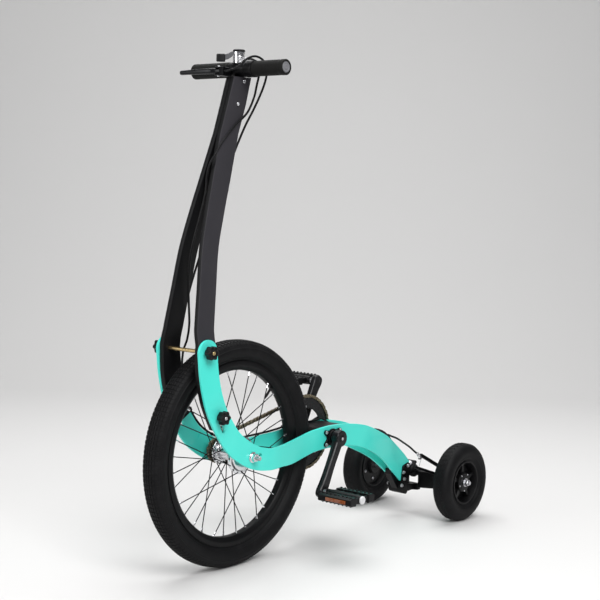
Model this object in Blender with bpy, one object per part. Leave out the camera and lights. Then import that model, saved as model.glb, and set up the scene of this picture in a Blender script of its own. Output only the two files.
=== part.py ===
"""Standing bicycle: one driven front wheel, bent side plates, a folding handlebar and a leaning rear truck.

Metres. +X is the rider's left, -Y the front, +Z up. The floor is Z = 0. Distances along the
bicycle are given behind the front axle; place() moves them to the frame's origin.
"""
import math
import bpy
import bmesh
import numpy as np
from mathutils import Matrix, Vector

# Overall layout
FRONT_AXLE_Y = -0.2785
WHEELBASE = 0.713
CLEARANCE = 0.0003

# Front wheel
TYRE_RADIUS = 0.256
TYRE_WIDTH = 0.053
TYRE_HEIGHT = 0.0531
BEAD_RADIUS = TYRE_RADIUS - TYRE_HEIGHT
# Half sections of the tyre: (inset from the half width, share of the height over the bead)
TYRE_OUTER = [(0.0138, 0.0), (0.0138, 0.1243), (0.0030, 0.3409), (0.0005, 0.6422),
              (0.0070, 0.8682), (0.0175, 1.0)]
TYRE_INNER = [(0.0265, 0.9153), (0.0070, 0.7740), (0.0040, 0.4915), (0.0163, 0.0)]
RIM_WIDTH = 0.030
RIM_DEPTH = 0.0159
RIM_KNEE_DEPTH = 0.0054
RIM_WALL = 0.0018
RIM_LIP = 0.0056
RIM_BED = 0.0009
NIPPLE_RADIUS = 0.0020
NIPPLE_DEPTH = 0.0040
SPOKE_LEAN = math.radians(46)
SPOKE_COUNT = 32
SPOKE_RADIUS = 0.0010
LEFT_FLANGE = (0.0300, 0.0425)
RIGHT_FLANGE = (-0.0300, 0.0290)
AXLE_RADIUS = 0.0050
WHEEL_FACETS = 36

# Side plates
PLATE_THICKNESS = 0.006
PLATE_PATH = [
    (-0.1435, 0.4995, 0.0560), (-0.1375, 0.4480, 0.0555), (-0.1240, 0.3960, 0.0555),
    (-0.1030, 0.3520, 0.0550), (-0.0670, 0.3030, 0.0550), (-0.0320, 0.2750, 0.0545),
    (0.0110, 0.2530, 0.0530), (0.0600, 0.2420, 0.0495), (0.1050, 0.2420, 0.0495),
    (0.1500, 0.2428, 0.0540), (0.2000, 0.2478, 0.0535), (0.2500, 0.2550, 0.0520),
    (0.3120, 0.2575, 0.0535), (0.3800, 0.2525, 0.0535), (0.4400, 0.2405, 0.0550),
    (0.4985, 0.2175, 0.0550), (0.5595, 0.1870, 0.0555), (0.6165, 0.1460, 0.0545),
    (0.6500, 0.1170, 0.0540),
]
PLATE_INNER_BENDS = [(0.080, 0.0595), (0.215, 0.0340), (0.455, 0.0340), (0.590, 0.0103)]
AXLE_SLOT_LENGTH = 0.026
AXLE_SLOT_RADIUS = 0.0053

# Folding handlebar posts
FOLD_AXIS = (-0.147, 0.501)
CLAMP_POINT = (-0.1075, 0.358)
CLAMP_SLOT_END = (-0.0945, 0.326)
POST_THICKNESS = 0.0120
POST_EDGES = [
    ((-0.1200, 0.3300), (-0.0750, 0.3570)), ((-0.1480, 0.3865), (-0.0977, 0.4055)),
    ((-0.1630, 0.4428), (-0.1100, 0.4532)), ((-0.1665, 0.5000), (-0.1155, 0.5000)),
    ((-0.1630, 0.5490), (-0.1130, 0.5490)), ((-0.1490, 0.6320), (-0.1000, 0.6320)),
    ((-0.1350, 0.7160), (-0.0860, 0.7160)), ((-0.1145, 0.7900), (-0.0630, 0.7900)),
    ((-0.0910, 0.8640), (-0.0370, 0.8640)), ((-0.0635, 0.9500), (-0.0080, 0.9500)),
    ((-0.0585, 0.9650), (-0.0030, 0.9650)), ((-0.0370, 1.0300), (0.0200, 1.0300)),
    ((-0.0180, 1.0890), (0.0360, 1.0890)),
]
POST_OUTER_BENDS = [(0.515, 0.0592), (0.545, 0.0527), (0.965, 0.0124)]
ROD_RADIUS = 0.0043
CLAMP_BOLT_RADIUS = 0.0040
POST_BOLTS = [(0.0106, 1.0800), (-0.0082, 1.0300)]
KNOB_X = (0.0658, 0.0870)
KNOB_FACETS = 12
KNOB_BORE = ROD_RADIUS + 2 * CLEARANCE
KNOB_RADIUS = 0.0142
KNOB_LOBE = 0.0018

# Handlebar
BAR_CENTRE = (0.011, 1.106)
BAR_RADIUS = 0.0111
BAR_HALF_WIDTH = 0.1290
GRIP_END_X = 0.1360
GRIP_RADIUS = 0.0170
GRIP_INNER_X = 0.0260
SHIFTER_Z = (1.1188, 1.1440)
SHIFTER_CENTRE = (0.0, 0.0080)
LEVER_PIVOT = (-0.0200, -0.0340)
LEVER_Z = (1.0935, 1.1065)

# Drive
CRANK_AXIS = (0.3107, 0.256)
CRANK_LENGTH = 0.140
CRANK_ANGLE = math.radians(-54.5)
CHAIN_PITCH = 0.0127
CHAINLINE = -0.0455
RING_TEETH = 44
COG_TEETH = 12
SPIDER_X = (-0.0545, -0.0500)
SPIDER_TURN = math.radians(20)
RING_BOLT_CIRCLE = 0.0630
SPINDLE_RADIUS = 0.0085
FLANGE_THICKNESS = 0.005
BRACKET_BOLT_SPREAD = (0.026, 0.0145)
FLANGE_RADIUS = 0.0210
FLANGE_EAR_RADIUS = 0.0055
CRANK_HEAD_RADIUS = 0.0195
# Crank arm stations: (share of the crank length, inner x, outer x, half width)
CRANK_STATIONS = [
    (-0.115, 0.0560, 0.0690, 0.0080), (-0.080, 0.0555, 0.0700, 0.0135),
    (0.000, 0.0550, 0.0715, 0.0165), (0.130, 0.0565, 0.0725, 0.0130),
    (0.500, 0.0635, 0.0775, 0.0120), (0.880, 0.0692, 0.0843, 0.0122),
    (1.000, 0.0705, 0.0855, 0.0140), (1.070, 0.0705, 0.0855, 0.0110),
    (1.100, 0.0710, 0.0850, 0.0050),
]
PEDAL_X = (0.1020, 0.2010)
REFLECTOR_SHIFT = 0.0045
REFLECTOR_HALF = (0.0290, 0.0045)

# Rear truck
REAR_AXLE = (WHEELBASE, 0.100)
REAR_WHEEL_X = 0.1457
REAR_TYRE_RADIUS = 0.100
REAR_TYRE_WIDTH = 0.050
REAR_RIM_RADIUS = 0.0560
REAR_FACETS = 24
REAR_FACET_TURN = math.pi / REAR_FACETS
HUB_FACE = 0.1620
LEAN_ANGLE = math.radians(40.5)
KINGPIN_POINT = (0.7060, 0.1100)
NOSE_REACH = 0.0620
BRACKET_HALF_WIDTH = 0.0206
TRUCK_BOLTS = [(0.637, 0.116), (0.641, 0.0985), (0.630, 0.083), (0.655, 0.131)]

# Drum brake on the left rear wheel
BRAKE_PLATE_X = (0.0990, 0.1015)
BRAKE_ARM_X = (0.0945, 0.0985)
BRAKE_PIVOT = (0.690, 0.1128)
BRAKE_ARM_END = (0.5830, 0.1497)
BRAKE_DRUM_X = (0.1035, 0.1262)
ANCHOR_END = (0.6005, 0.1785)
# The tab at the anchor arm's end that the cable adjuster stands on, and the adjuster's axis
TAB_CENTRE = (0.1000, 0.5960, 0.1735)
ADJUSTER_DIRECTION = (0.0, -0.7071, 0.7071)
TAB_THICKNESS = 0.0030
ADJUSTER_LENGTH = 0.0100

# Cables, as points along their middle
SHIFT_CABLE = [
    (0.000, 0.0245, 1.1290), (0.012, 0.0380, 1.1300), (0.024, 0.0460, 1.1180),
    (0.024, 0.0480, 1.0980), (0.019, 0.0460, 1.0720), (0.0165, 0.0400, 1.0450),
    (0.0156, 0.0200, 1.0120), (0.0153, -0.0150, 0.9850), (0.0178, -0.0560, 0.9500),
    (0.0180, -0.0810, 0.9200), (0.0080, -0.0890, 0.8950), (0.0, -0.0880, 0.8700),
    (0.0, -0.0920, 0.8350), (-0.0020, -0.1060, 0.7850), (-0.0060, -0.1180, 0.7400),
    (-0.0120, -0.1240, 0.6950), (-0.0180, -0.1220, 0.6450), (-0.0260, -0.1120, 0.5950),
    (-0.0360, -0.1000, 0.5500), (-0.0520, -0.0900, 0.5150), (-0.0720, -0.0830, 0.4800),
    (-0.0880, -0.0680, 0.4200), (-0.0980, -0.0420, 0.3550), (-0.1030, -0.0150, 0.3050),
    (-0.1040, -0.0020, 0.2720),
]
BRAKE_CABLE_TOP = [
    (-0.0045, -0.0330, 1.1000), (0.0080, -0.0320, 1.1010), (0.0260, -0.0230, 1.1080),
    (0.0380, -0.0080, 1.1260), (0.0440, 0.0140, 1.1330), (0.0480, 0.0360, 1.1240),
    (0.0480, 0.0460, 1.1020), (0.0420, 0.0470, 1.0780), (0.0300, 0.0450, 1.0500),
    (0.0150, 0.0400, 1.0180), (0.0, 0.0320, 0.9850), (-0.0120, 0.0180, 0.9400),
    (-0.0200, -0.0080, 0.8750), (-0.0280, -0.0340, 0.8000), (-0.0360, -0.0600, 0.7200),
    (-0.0440, -0.0860, 0.6400), (-0.0510, -0.1060, 0.5600), (-0.0590, -0.1080, 0.5000),
    (-0.0625, -0.1050, 0.4500),
]
# From the right plate's upper edge over the bridge cover, down between the plates and out again
BRAKE_CABLE_TAIL = [
    (-0.0345, 0.2680, 0.2880), (-0.0310, 0.2880, 0.2870), (-0.0305, 0.3060, 0.2848),
    (-0.0305, 0.3350, 0.2850), (-0.0305, 0.3560, 0.2856), (-0.0300, 0.3720, 0.2796),
    (-0.0285, 0.3880, 0.2690), (-0.0265, 0.4120, 0.2540), (-0.0220, 0.4500, 0.2340),
    (-0.0165, 0.4950, 0.2180), (-0.0125, 0.5300, 0.2110), (-0.0095, 0.5650, 0.2110),
    (-0.0050, 0.5947, 0.2171), (0.0120, 0.5899, 0.2172), (0.0360, 0.5832, 0.2152),
    (0.0620, 0.5735, 0.2101), (0.0840, 0.5722, 0.2013), (0.0940, 0.5773, 0.1918),
]
CABLE_RADIUS = 0.0025

# Colours, as linear values
MINT = (0.145, 0.735, 0.610)
BLACK_COAT = (0.012, 0.012, 0.014)
POST_BLACK = (0.030, 0.029, 0.034)
RUBBER = (0.018, 0.018, 0.020)
GRIP_BLACK = (0.016, 0.015, 0.013)
PLASTIC = (0.014, 0.014, 0.015)
STEEL = (0.560, 0.560, 0.570)
CHROME = (0.750, 0.750, 0.760)
CHAIN_STEEL = (0.300, 0.260, 0.190)
BRASS = (0.620, 0.480, 0.260)
REFLECTOR = (0.800, 0.160, 0.010)


def clear_scene():
    for old in list(bpy.data.objects):
        bpy.data.objects.remove(old, do_unlink=True)


def finish(name, colour, roughness, metallic):
    """A Principled material of the node's own."""
    material = bpy.data.materials.new(name + "_finish")
    material.use_nodes = True
    shader = material.node_tree.nodes["Principled BSDF"]
    shader.inputs["Base Color"].default_value = (*colour, 1.0)
    shader.inputs["Roughness"].default_value = roughness
    shader.inputs["Metallic"].default_value = metallic
    material.diffuse_color = (*colour, 1.0)
    return material


def mesh_from(name, solids, origin):
    """One mesh that holds the given closed shapes, measured from the origin, faces outward."""
    mesh = bpy.data.meshes.new(name)
    points = []
    faces = []
    for solid_points, solid_faces in solids:
        start = len(points)
        points.extend(tuple(np.subtract(p, origin)) for p in solid_points)
        faces.extend([tuple(start + i for i in face) for face in solid_faces])
    mesh.from_pydata(points, [], faces)
    edit = bmesh.new()
    edit.from_mesh(mesh)
    bmesh.ops.recalc_face_normals(edit, faces=edit.faces)
    edit.to_mesh(mesh)
    edit.free()
    return mesh


def place(name, solids, origin):
    mesh = mesh_from(name, solids, origin)
    node = bpy.data.objects.new(name, mesh)
    node.location = (origin[0], origin[1] + FRONT_AXLE_Y, origin[2])
    bpy.context.collection.objects.link(node)
    return node


def add_node(name, solids, look, origin=(0.0, 0.0, 0.0), crease=35.0):
    """A named sub-part of one or more joined shapes, shaded smooth except at creases."""
    node = place(name, solids[:1], origin)
    node.data.materials.append(finish(name, *look))
    node.data.shade_smooth()
    node.data.set_sharp_from_angle(angle=math.radians(crease))
    if len(solids) > 1:
        join(node, solids[1:])
    return node


def combine(node, operation, solids):
    """Cut the given shapes out of a node, or join them to it."""
    number = len(node.modifiers)
    tool = place(f"{node.name}_{operation.lower()}_{number}", solids, (0.0, 0.0, 0.0))
    tool.hide_render = True
    tool.display_type = "WIRE"
    change = node.modifiers.new(f"{operation.lower()}_{number}", "BOOLEAN")
    change.operation = operation
    change.solver = "EXACT"
    change.use_self = True
    change.object = tool


def cut(node, solids):
    combine(node, "DIFFERENCE", solids)


def join(node, solids):
    combine(node, "UNION", solids)


def loft(rings, closed=False):
    """A skin through rings of equally many points, with flat ends unless it is a closed loop."""
    count = len(rings[0])
    points = [tuple(p) for ring in rings for p in ring]
    faces = []
    spans = len(rings) if closed else len(rings) - 1
    for r in range(spans):
        here = r * count
        there = ((r + 1) % len(rings)) * count
        for i in range(count):
            j = (i + 1) % count
            faces.append((here + i, here + j, there + j, there + i))
    if not closed:
        last = (len(rings) - 1) * count
        faces.append(tuple(range(count)))
        faces.append(tuple(last + i for i in range(count)))
    return points, faces


def prism(outline, low, high, axis="X"):
    """An outline extruded from low to high. Its plane is Y-Z, X-Z or X-Y."""
    if axis == "X":
        return loft([[(level, u, v) for u, v in outline] for level in (low, high)])
    if axis == "Y":
        return loft([[(u, level, v) for u, v in outline] for level in (low, high)])
    return loft([[(u, v, level) for u, v in outline] for level in (low, high)])


def basis(direction):
    """Two unit vectors square to a direction."""
    along = Vector(direction).normalized()
    helper = Vector((0, 0, 1)) if abs(along.z) < 0.9 else Vector((0, 1, 0))
    side = along.cross(helper).normalized()
    return side, along.cross(side).normalized()


def circle(radius, sides, turn=0.0):
    step = 2 * math.pi / sides
    return [
        (radius * math.cos(turn + step * i), radius * math.sin(turn + step * i))
        for i in range(sides)
    ]


def turned(profile, sides, centre, direction=(1, 0, 0), turn=0.0, ring=False):
    """A turned shape: profile points are (distance along the axis, radius).

    A ring's profile is a closed loop off the axis; any other one starts and ends at flat ends.
    """
    along = Vector(direction).normalized()
    side, up = basis(along)
    rings = []
    for distance, radius in profile:
        hub = Vector(centre) + along * distance
        rings.append([hub + side * u + up * v for u, v in circle(radius, sides, turn)])
    return loft(rings, closed=ring)


def rod(start, end, radius, sides=8, turn=0.0):
    direction = Vector(end) - Vector(start)
    return turned([(0.0, radius), (direction.length, radius)], sides, start, direction, turn)


def tube(start, end, outer, inner, sides):
    direction = Vector(end) - Vector(start)
    length = direction.length
    profile = [(0.0, inner), (0.0, outer), (length, outer), (length, inner)]
    return turned(profile, sides, start, direction, ring=True)


def block(low, high):
    outline = [(low[1], low[2]), (high[1], low[2]), (high[1], high[2]), (low[1], high[2])]
    return prism(outline, low[0], high[0])


def mirrored(solid):
    points, faces = solid
    return [(-x, y, z) for x, y, z in points], faces


def both_sides(solids):
    return list(solids) + [mirrored(solid) for solid in solids]


def bar(start, end, width):
    """The outline of a straight bar between two points of the side view."""
    along = Vector((end[0] - start[0], end[1] - start[1])).normalized()
    across = Vector((-along.y, along.x)) * width / 2
    a = Vector(start)
    b = Vector(end)
    return [tuple(a + across), tuple(a - across), tuple(b - across), tuple(b + across)]


def stadium(start, end, radius, sides=12):
    """The outline of a slot with round ends."""
    direction = math.atan2(end[1] - start[1], end[0] - start[0])
    half = sides // 2
    outline = []
    for centre, first in ((end, direction - math.pi / 2), (start, direction + math.pi / 2)):
        for i in range(half + 1):
            angle = first + math.pi * i / half
            outline.append((centre[0] + radius * math.cos(angle),
                            centre[1] + radius * math.sin(angle)))
    return outline


def smooth_path(points, count):
    """Evenly spread points on a smooth curve through the given ones, of any dimension."""
    p = np.array(points, float)
    ends = np.vstack([2 * p[0] - p[1], p, 2 * p[-1] - p[-2]])
    curve = []
    for a, b, c, d in zip(ends, ends[1:], ends[2:], ends[3:]):
        for t in np.linspace(0, 1, 24, endpoint=False):
            curve.append(0.5 * (2 * b + (c - a) * t + (2 * a - 5 * b + 4 * c - d) * t ** 2
                                + (3 * b - a - 3 * c + d) * t ** 3))
    curve.append(p[-1])
    curve = np.array(curve)
    steps = np.linalg.norm(np.diff(curve, axis=0), axis=1)
    run = np.concatenate([[0], np.cumsum(steps)])
    wanted = np.linspace(0, run[-1], count)
    return np.stack([np.interp(wanted, run, curve[:, k]) for k in range(p.shape[1])], axis=1)


def strip_width_spline(count):
    """Evenly spread stations (y, z, width) along the plate's centreline, then its round top end."""
    stations = smooth_path(PLATE_PATH, count)
    first = stations[0]
    along = first[:2] - stations[1][:2]
    along = along / np.linalg.norm(along)
    radius = first[2] / 2
    top = []
    for angle in (80, 55, 28):
        reach = radius * math.sin(math.radians(angle))
        centre = first[:2] + along * reach
        top.append([centre[0], centre[1], 2 * radius * math.cos(math.radians(angle))])
    return np.vstack([top, stations])


def plate_inner(y):
    ys = [bend[0] for bend in PLATE_INNER_BENDS]
    xs = [bend[1] for bend in PLATE_INNER_BENDS]
    return float(np.interp(y, ys, xs))


def plate_solid():
    """The left side plate: a flat bar that follows the path and bends inward twice."""
    stations = strip_width_spline(26)
    directions = np.gradient(stations[:, :2], axis=0)
    rings = []
    for (y, z, width), direction in zip(stations, directions):
        direction = direction / np.linalg.norm(direction)
        across = np.array([-direction[1], direction[0]]) * width / 2
        ring = []
        for sign, extra in ((1, 0), (1, PLATE_THICKNESS), (-1, PLATE_THICKNESS), (-1, 0)):
            edge_y, edge_z = np.array([y, z]) + across * sign
            ring.append((plate_inner(edge_y) + extra, edge_y, edge_z))
        rings.append(ring)
    return loft(rings)


def bracket_bolt_points():
    return [
        (CRANK_AXIS[0] + a * BRACKET_BOLT_SPREAD[0], CRANK_AXIS[1] + b * BRACKET_BOLT_SPREAD[1])
        for a in (-1, 1) for b in (-1, 1)
    ]


def flange_outline():
    """A round flange with an ear around each of its four bolts."""
    y, z = CRANK_AXIS
    outline = []
    first = math.atan2(BRACKET_BOLT_SPREAD[1], BRACKET_BOLT_SPREAD[0])
    reach = math.hypot(*BRACKET_BOLT_SPREAD)
    ears = [first, math.pi - first, math.pi + first, 2 * math.pi - first]
    between = [(60, 90, 120), (180,), (240, 270, 300), (360,)]
    for ear, arc in zip(ears, between):
        by, bz = y + reach * math.cos(ear), z + reach * math.sin(ear)
        for step in (-90, -45, 0, 45, 90):
            angle = ear + math.radians(step)
            outline.append((by + FLANGE_EAR_RADIUS * math.cos(angle),
                            bz + FLANGE_EAR_RADIUS * math.sin(angle)))
        for degrees in arc:
            angle = math.radians(degrees)
            outline.append((y + FLANGE_RADIUS * math.cos(angle),
                            z + FLANGE_RADIUS * math.sin(angle)))
    return outline


def build_frame():
    plate = plate_solid()
    openings = [
        prism(stadium((0.0, TYRE_RADIUS), (AXLE_SLOT_LENGTH, TYRE_RADIUS), AXLE_SLOT_RADIUS),
              0.05, 0.08),
        prism(stadium(CLAMP_POINT, CLAMP_SLOT_END, CLAMP_BOLT_RADIUS + CLEARANCE), 0.05, 0.08),
        rod((0.05, *FOLD_AXIS), (0.08, *FOLD_AXIS), ROD_RADIUS + CLEARANCE, 12),
        rod((0.02, *CRANK_AXIS), (0.06, *CRANK_AXIS), 0.0165, 20),
    ]
    for y, z in bracket_bolt_points():
        openings.append(rod((0.02, y, z), (0.06, y, z), 0.0025, 8))
    for y, z in TRUCK_BOLTS[:1] + TRUCK_BOLTS[3:]:
        openings.append(rod((0.0, y, z), (0.03, y, z), 0.0025, 8))
    left = add_node("left_frame_plate", [plate], (MINT, 0.35, 0.0))
    cut(left, openings)
    right = add_node("right_frame_plate", [mirrored(plate)], (MINT, 0.35, 0.0))
    cut(right, [mirrored(solid) for solid in openings])

    inner = PLATE_INNER_BENDS[1][1]
    face = inner - CLEARANCE
    y, z = CRANK_AXIS
    bore = SPINDLE_RADIUS + CLEARANCE
    shell = [(-face, bore), (-face, 0.0205), (face, 0.0205), (face, bore), (0.0230, bore),
             (0.0230, 0.0165), (-0.0230, 0.0165), (-0.0230, bore)]
    add_node("bottom_bracket_shell", [turned(shell, 18, (0, y, z), ring=True)],
             (BLACK_COAT, 0.45, 0.0))

    outer = inner + PLATE_THICKNESS + CLEARANCE
    flange = [prism(flange_outline(), outer, outer + FLANGE_THICKNESS)]
    for by, bz in bracket_bolt_points():
        profile = [(inner - 0.0040, 0.0042), (face, 0.0042), (face, 0.0022), (outer, 0.0022),
                   (outer + FLANGE_THICKNESS, 0.0042), (outer + FLANGE_THICKNESS + 0.0034, 0.0037)]
        flange.append(turned(profile, 6, (0.0, by, bz)))
    hole = rod((0.03, y, z), (0.06, y, z), 0.0125, 20)
    left_flange = add_node("left_bracket_flange", flange, (BLACK_COAT, 0.4, 0.0))
    cut(left_flange, [hole])
    right_flange = add_node("right_bracket_flange", [mirrored(f) for f in flange],
                            (BLACK_COAT, 0.4, 0.0))
    cut(right_flange, [mirrored(hole)])

    cover = [(0.2660, 0.2755), (0.2675, 0.2735), (0.2740, 0.2790), (0.3550, 0.2785),
             (0.3680, 0.2700), (0.3700, 0.2715), (0.3560, 0.2812), (0.2730, 0.2817)]
    add_node("bridge_cover", [prism(cover, -face, face)], (PLASTIC, 0.5, 0.0))


def along_lean(distance, offset=0.0, x=0.0):
    """A point measured along the lean axis from the kingpin, offset toward the kingpin's foot."""
    c = math.cos(LEAN_ANGLE)
    s = math.sin(LEAN_ANGLE)
    return (x, KINGPIN_POINT[0] + c * distance + s * offset,
            KINGPIN_POINT[1] + s * distance - c * offset)


def lean_outline(corners):
    """Side-view outline from corners (distance along the lean axis, offset to the foot)."""
    return [along_lean(a, b)[1:] for a, b in corners]


def build_bracket():
    """The black bracket that clamps the plates' tips and carries the kingpin and the pivot cup."""
    w = BRACKET_HALF_WIDTH
    body = [(0.6360, 0.1330), (0.6270, 0.0730), (0.6290, 0.0640), (0.6520, 0.0560),
            (0.6600, 0.0640), (0.6560, 0.0800), (0.6590, 0.0980), (0.6730, 0.1180),
            (0.6620, 0.1400)]
    bracket = add_node("truck_bracket", [prism(body, -w, w)], (BLACK_COAT, 0.4, 0.0))
    yoke = lean_outline([(-0.047, -0.0165), (0.015, -0.0165), (0.015, -0.0225),
                         (-0.047, -0.0225)])
    spine = [(0.6000, 0.1300), (0.6380, 0.1000), (0.6380, 0.0740), (0.6270, 0.0730),
             (0.5960, 0.1160)]
    join(bracket, [prism(yoke, -0.0150, 0.0150), prism(spine, -0.0098, 0.0098)])
    plate_gap = 0.0003
    tip = PLATE_INNER_BENDS[3][1]
    pocket = [(0.5800, 0.1900), (0.6663, 0.1420), (0.6695, 0.1370), (0.6315, 0.0930),
              (0.5700, 0.0930)]
    slot = prism(pocket, tip - plate_gap, tip + PLATE_THICKNESS + plate_gap)
    bolts = []
    for y, z in TRUCK_BOLTS:
        profile = [(-w - 0.0036, 0.0038), (-w - 0.0002, 0.0043), (-w + 0.0006, 0.0022),
                   (w - 0.0006, 0.0022), (w + 0.0002, 0.0043), (w + 0.0036, 0.0038)]
        bolts.append(turned(profile, 6, (0.0, y, z)))
    cup = rod(along_lean(-NOSE_REACH - 0.006), along_lean(-NOSE_REACH + 0.030), 0.0077, 12)
    kingpin = rod(along_lean(0, -0.04), along_lean(0, 0.04), 0.0053, 12)
    cut(bracket, [slot, mirrored(slot), cup, kingpin])
    join(bracket, bolts)

    x, y, z = along_lean(0)
    direction = (0.0, math.sin(LEAN_ANGLE), -math.cos(LEAN_ANGLE))
    profile = [(-0.0305, 0.0070), (-0.0270, 0.0090), (-0.0229, 0.0090), (-0.0229, 0.0050),
               (0.0158, 0.0050), (0.0158, 0.0085), (0.0200, 0.0080)]
    add_node("kingpin", [turned(profile, 12, (x, y, z), direction)], (STEEL, 0.3, 1.0))
    for name, low, high in (("upper_bushing", -0.0162, -0.0053),
                            ("lower_bushing", 0.0053, 0.0155)):
        middle = (low + high) / 2
        profile = [(low, 0.0053), (low, 0.0120), (middle, 0.0135), (high, 0.0125),
                   (high, 0.0053)]
        add_node(name, [turned(profile, 16, (x, y, z), direction, ring=True)],
                 (RUBBER, 0.6, 0.0))


def build_truck():
    """The hanger with its two arms, the stub axles, the brake's fixed parts and the rear wheels."""
    y, z = REAR_AXLE
    right = [(0.0175, 0.1080), (0.0175, 0.0640), (0.0670, 0.0690), (0.0920, 0.0800),
             (0.0920, 0.1160), (0.0670, 0.1110)]
    arm = prism(right, y - 0.0065, y + 0.0065, "Y")
    bridge = [(0.0, 0.0560), (0.0180, 0.0580), (0.0180, 0.0740), (-0.0180, 0.0740),
              (-0.0180, 0.0580)]
    truck = add_node("axle_beam", [arm], (BLACK_COAT, 0.4, 0.0))
    ring = turned([(-0.0050, 0.0170), (0.0050, 0.0170)], 20, along_lean(0),
                  (0.0, math.sin(LEAN_ANGLE), -math.cos(LEAN_ANGLE)))
    gussets = prism([(-0.0190, 0.0975), (0.0190, 0.0975), (0.0190, 0.1080), (0.0080, 0.1160),
                     (-0.0080, 0.1160), (-0.0190, 0.1080)], y - 0.0064, y + 0.0064, "Y")
    nose = prism([(0.7190, 0.0600), (0.7190, 0.0735), (0.6950, 0.0745),
                  along_lean(-0.0480, -0.0035)[1:], along_lean(-0.0480, 0.0065)[1:],
                  (0.6800, 0.0580)], -0.0075, 0.0075)
    pivot = rod(along_lean(-NOSE_REACH), along_lean(-0.0450), 0.0062, 12)
    bottom = prism(bridge, y - 0.0063, y + 0.0063, "Y")
    join(truck, [mirrored(arm), ring, gussets, bottom, nose, pivot])
    stub_hole = rod((0.0480, y, z), (0.0950, y, z), AXLE_RADIUS + CLEARANCE, 12)
    pin_hole = rod(along_lean(0, -0.03), along_lean(0, 0.03), 0.0078, 16)
    foot_room = rod(along_lean(0, 0.0050), along_lean(0, 0.03), 0.0142, 16)
    head_room = rod(along_lean(0, -0.03), along_lean(0, -0.0050), 0.0142, 16)
    cut(truck, [pin_hole, foot_room, head_room, stub_hole, mirrored(stub_hole)])

    outer = REAR_WHEEL_X + REAR_TYRE_WIDTH / 2
    axle = [(0.0483, AXLE_RADIUS), (HUB_FACE + 0.0003, AXLE_RADIUS), (HUB_FACE + 0.0003, 0.0110),
            (HUB_FACE + 0.0020, 0.0110), (HUB_FACE + 0.0020, 0.0085), (outer + 0.0020, 0.0080),
            (outer + 0.0020, AXLE_RADIUS), (outer + 0.0060, AXLE_RADIUS)]
    stub = turned(axle, 12, (0, y, z))
    add_node("left_rear_axle", [stub], (STEEL, 0.28, 1.0))
    add_node("right_rear_axle", [mirrored(stub)], (STEEL, 0.28, 1.0))


def adjuster_foot():
    return Vector(TAB_CENTRE) + Vector(ADJUSTER_DIRECTION) * (TAB_THICKNESS / 2 + CLEARANCE)


def build_brake():
    y, z = REAR_AXLE
    disc = tube((BRAKE_PLATE_X[0], y, z), (BRAKE_PLATE_X[1], y, z), 0.0370,
                AXLE_RADIUS + CLEARANCE, 20)
    anchor = add_node("brake_anchor", [disc], (BLACK_COAT, 0.4, 0.0))
    arm_x = (BRAKE_PLATE_X[0] - 0.0020, BRAKE_PLATE_X[1] + 0.0015)
    arm = prism(bar(ANCHOR_END, (0.6980, 0.1300), 0.0085), *arm_x)
    along = Vector(ADJUSTER_DIRECTION)
    up = Vector((0.0, along.z, -along.y))
    middle = Vector(TAB_CENTRE)
    tab = prism(bar((middle - up * 0.0055)[1:], (middle + up * 0.0068)[1:], TAB_THICKNESS), *arm_x)
    nut = turned([(-0.0034, 0.0028), (-0.0014, 0.0030)], 6, middle, along)
    join(anchor, [arm, tab, nut])
    pin_hole = rod((0.09, *BRAKE_PIVOT), (0.11, *BRAKE_PIVOT), 0.0028, 8)
    wire_hole = rod(middle - along * 0.01, middle + along * 0.01, 0.0012, 8)
    cut(anchor, [pin_hole, wire_hole])

    barrel = [(0.0, 0.0016), (0.0, 0.0038), (ADJUSTER_LENGTH, 0.0034), (ADJUSTER_LENGTH, 0.0016)]
    add_node("barrel_adjuster", [turned(barrel, 10, adjuster_foot(), along, ring=True)],
             (CHROME, 0.2, 1.0))

    lever = prism(bar(BRAKE_ARM_END, BRAKE_PIVOT, 0.0075), *BRAKE_ARM_X)
    moving = add_node("brake_arm", [lever], (BLACK_COAT, 0.4, 0.0),
                      (BRAKE_ARM_X[0], *BRAKE_PIVOT))
    join(moving, [rod((BRAKE_ARM_X[0] - 0.001, *BRAKE_PIVOT),
                      (BRAKE_PLATE_X[1] + 0.001, *BRAKE_PIVOT), 0.0024, 8)])

    drum = [(BRAKE_DRUM_X[0], 0.0400), (BRAKE_DRUM_X[1], 0.0400), (BRAKE_DRUM_X[1], 0.0160),
            (BRAKE_DRUM_X[1] - 0.0030, 0.0160), (BRAKE_DRUM_X[1] - 0.0030, 0.0365),
            (BRAKE_DRUM_X[0], 0.0365)]
    add_node("brake_drum", [turned(drum, 20, (0, y, z), ring=True)], (STEEL, 0.4, 1.0),
             (BRAKE_DRUM_X[0], y, z))


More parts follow.
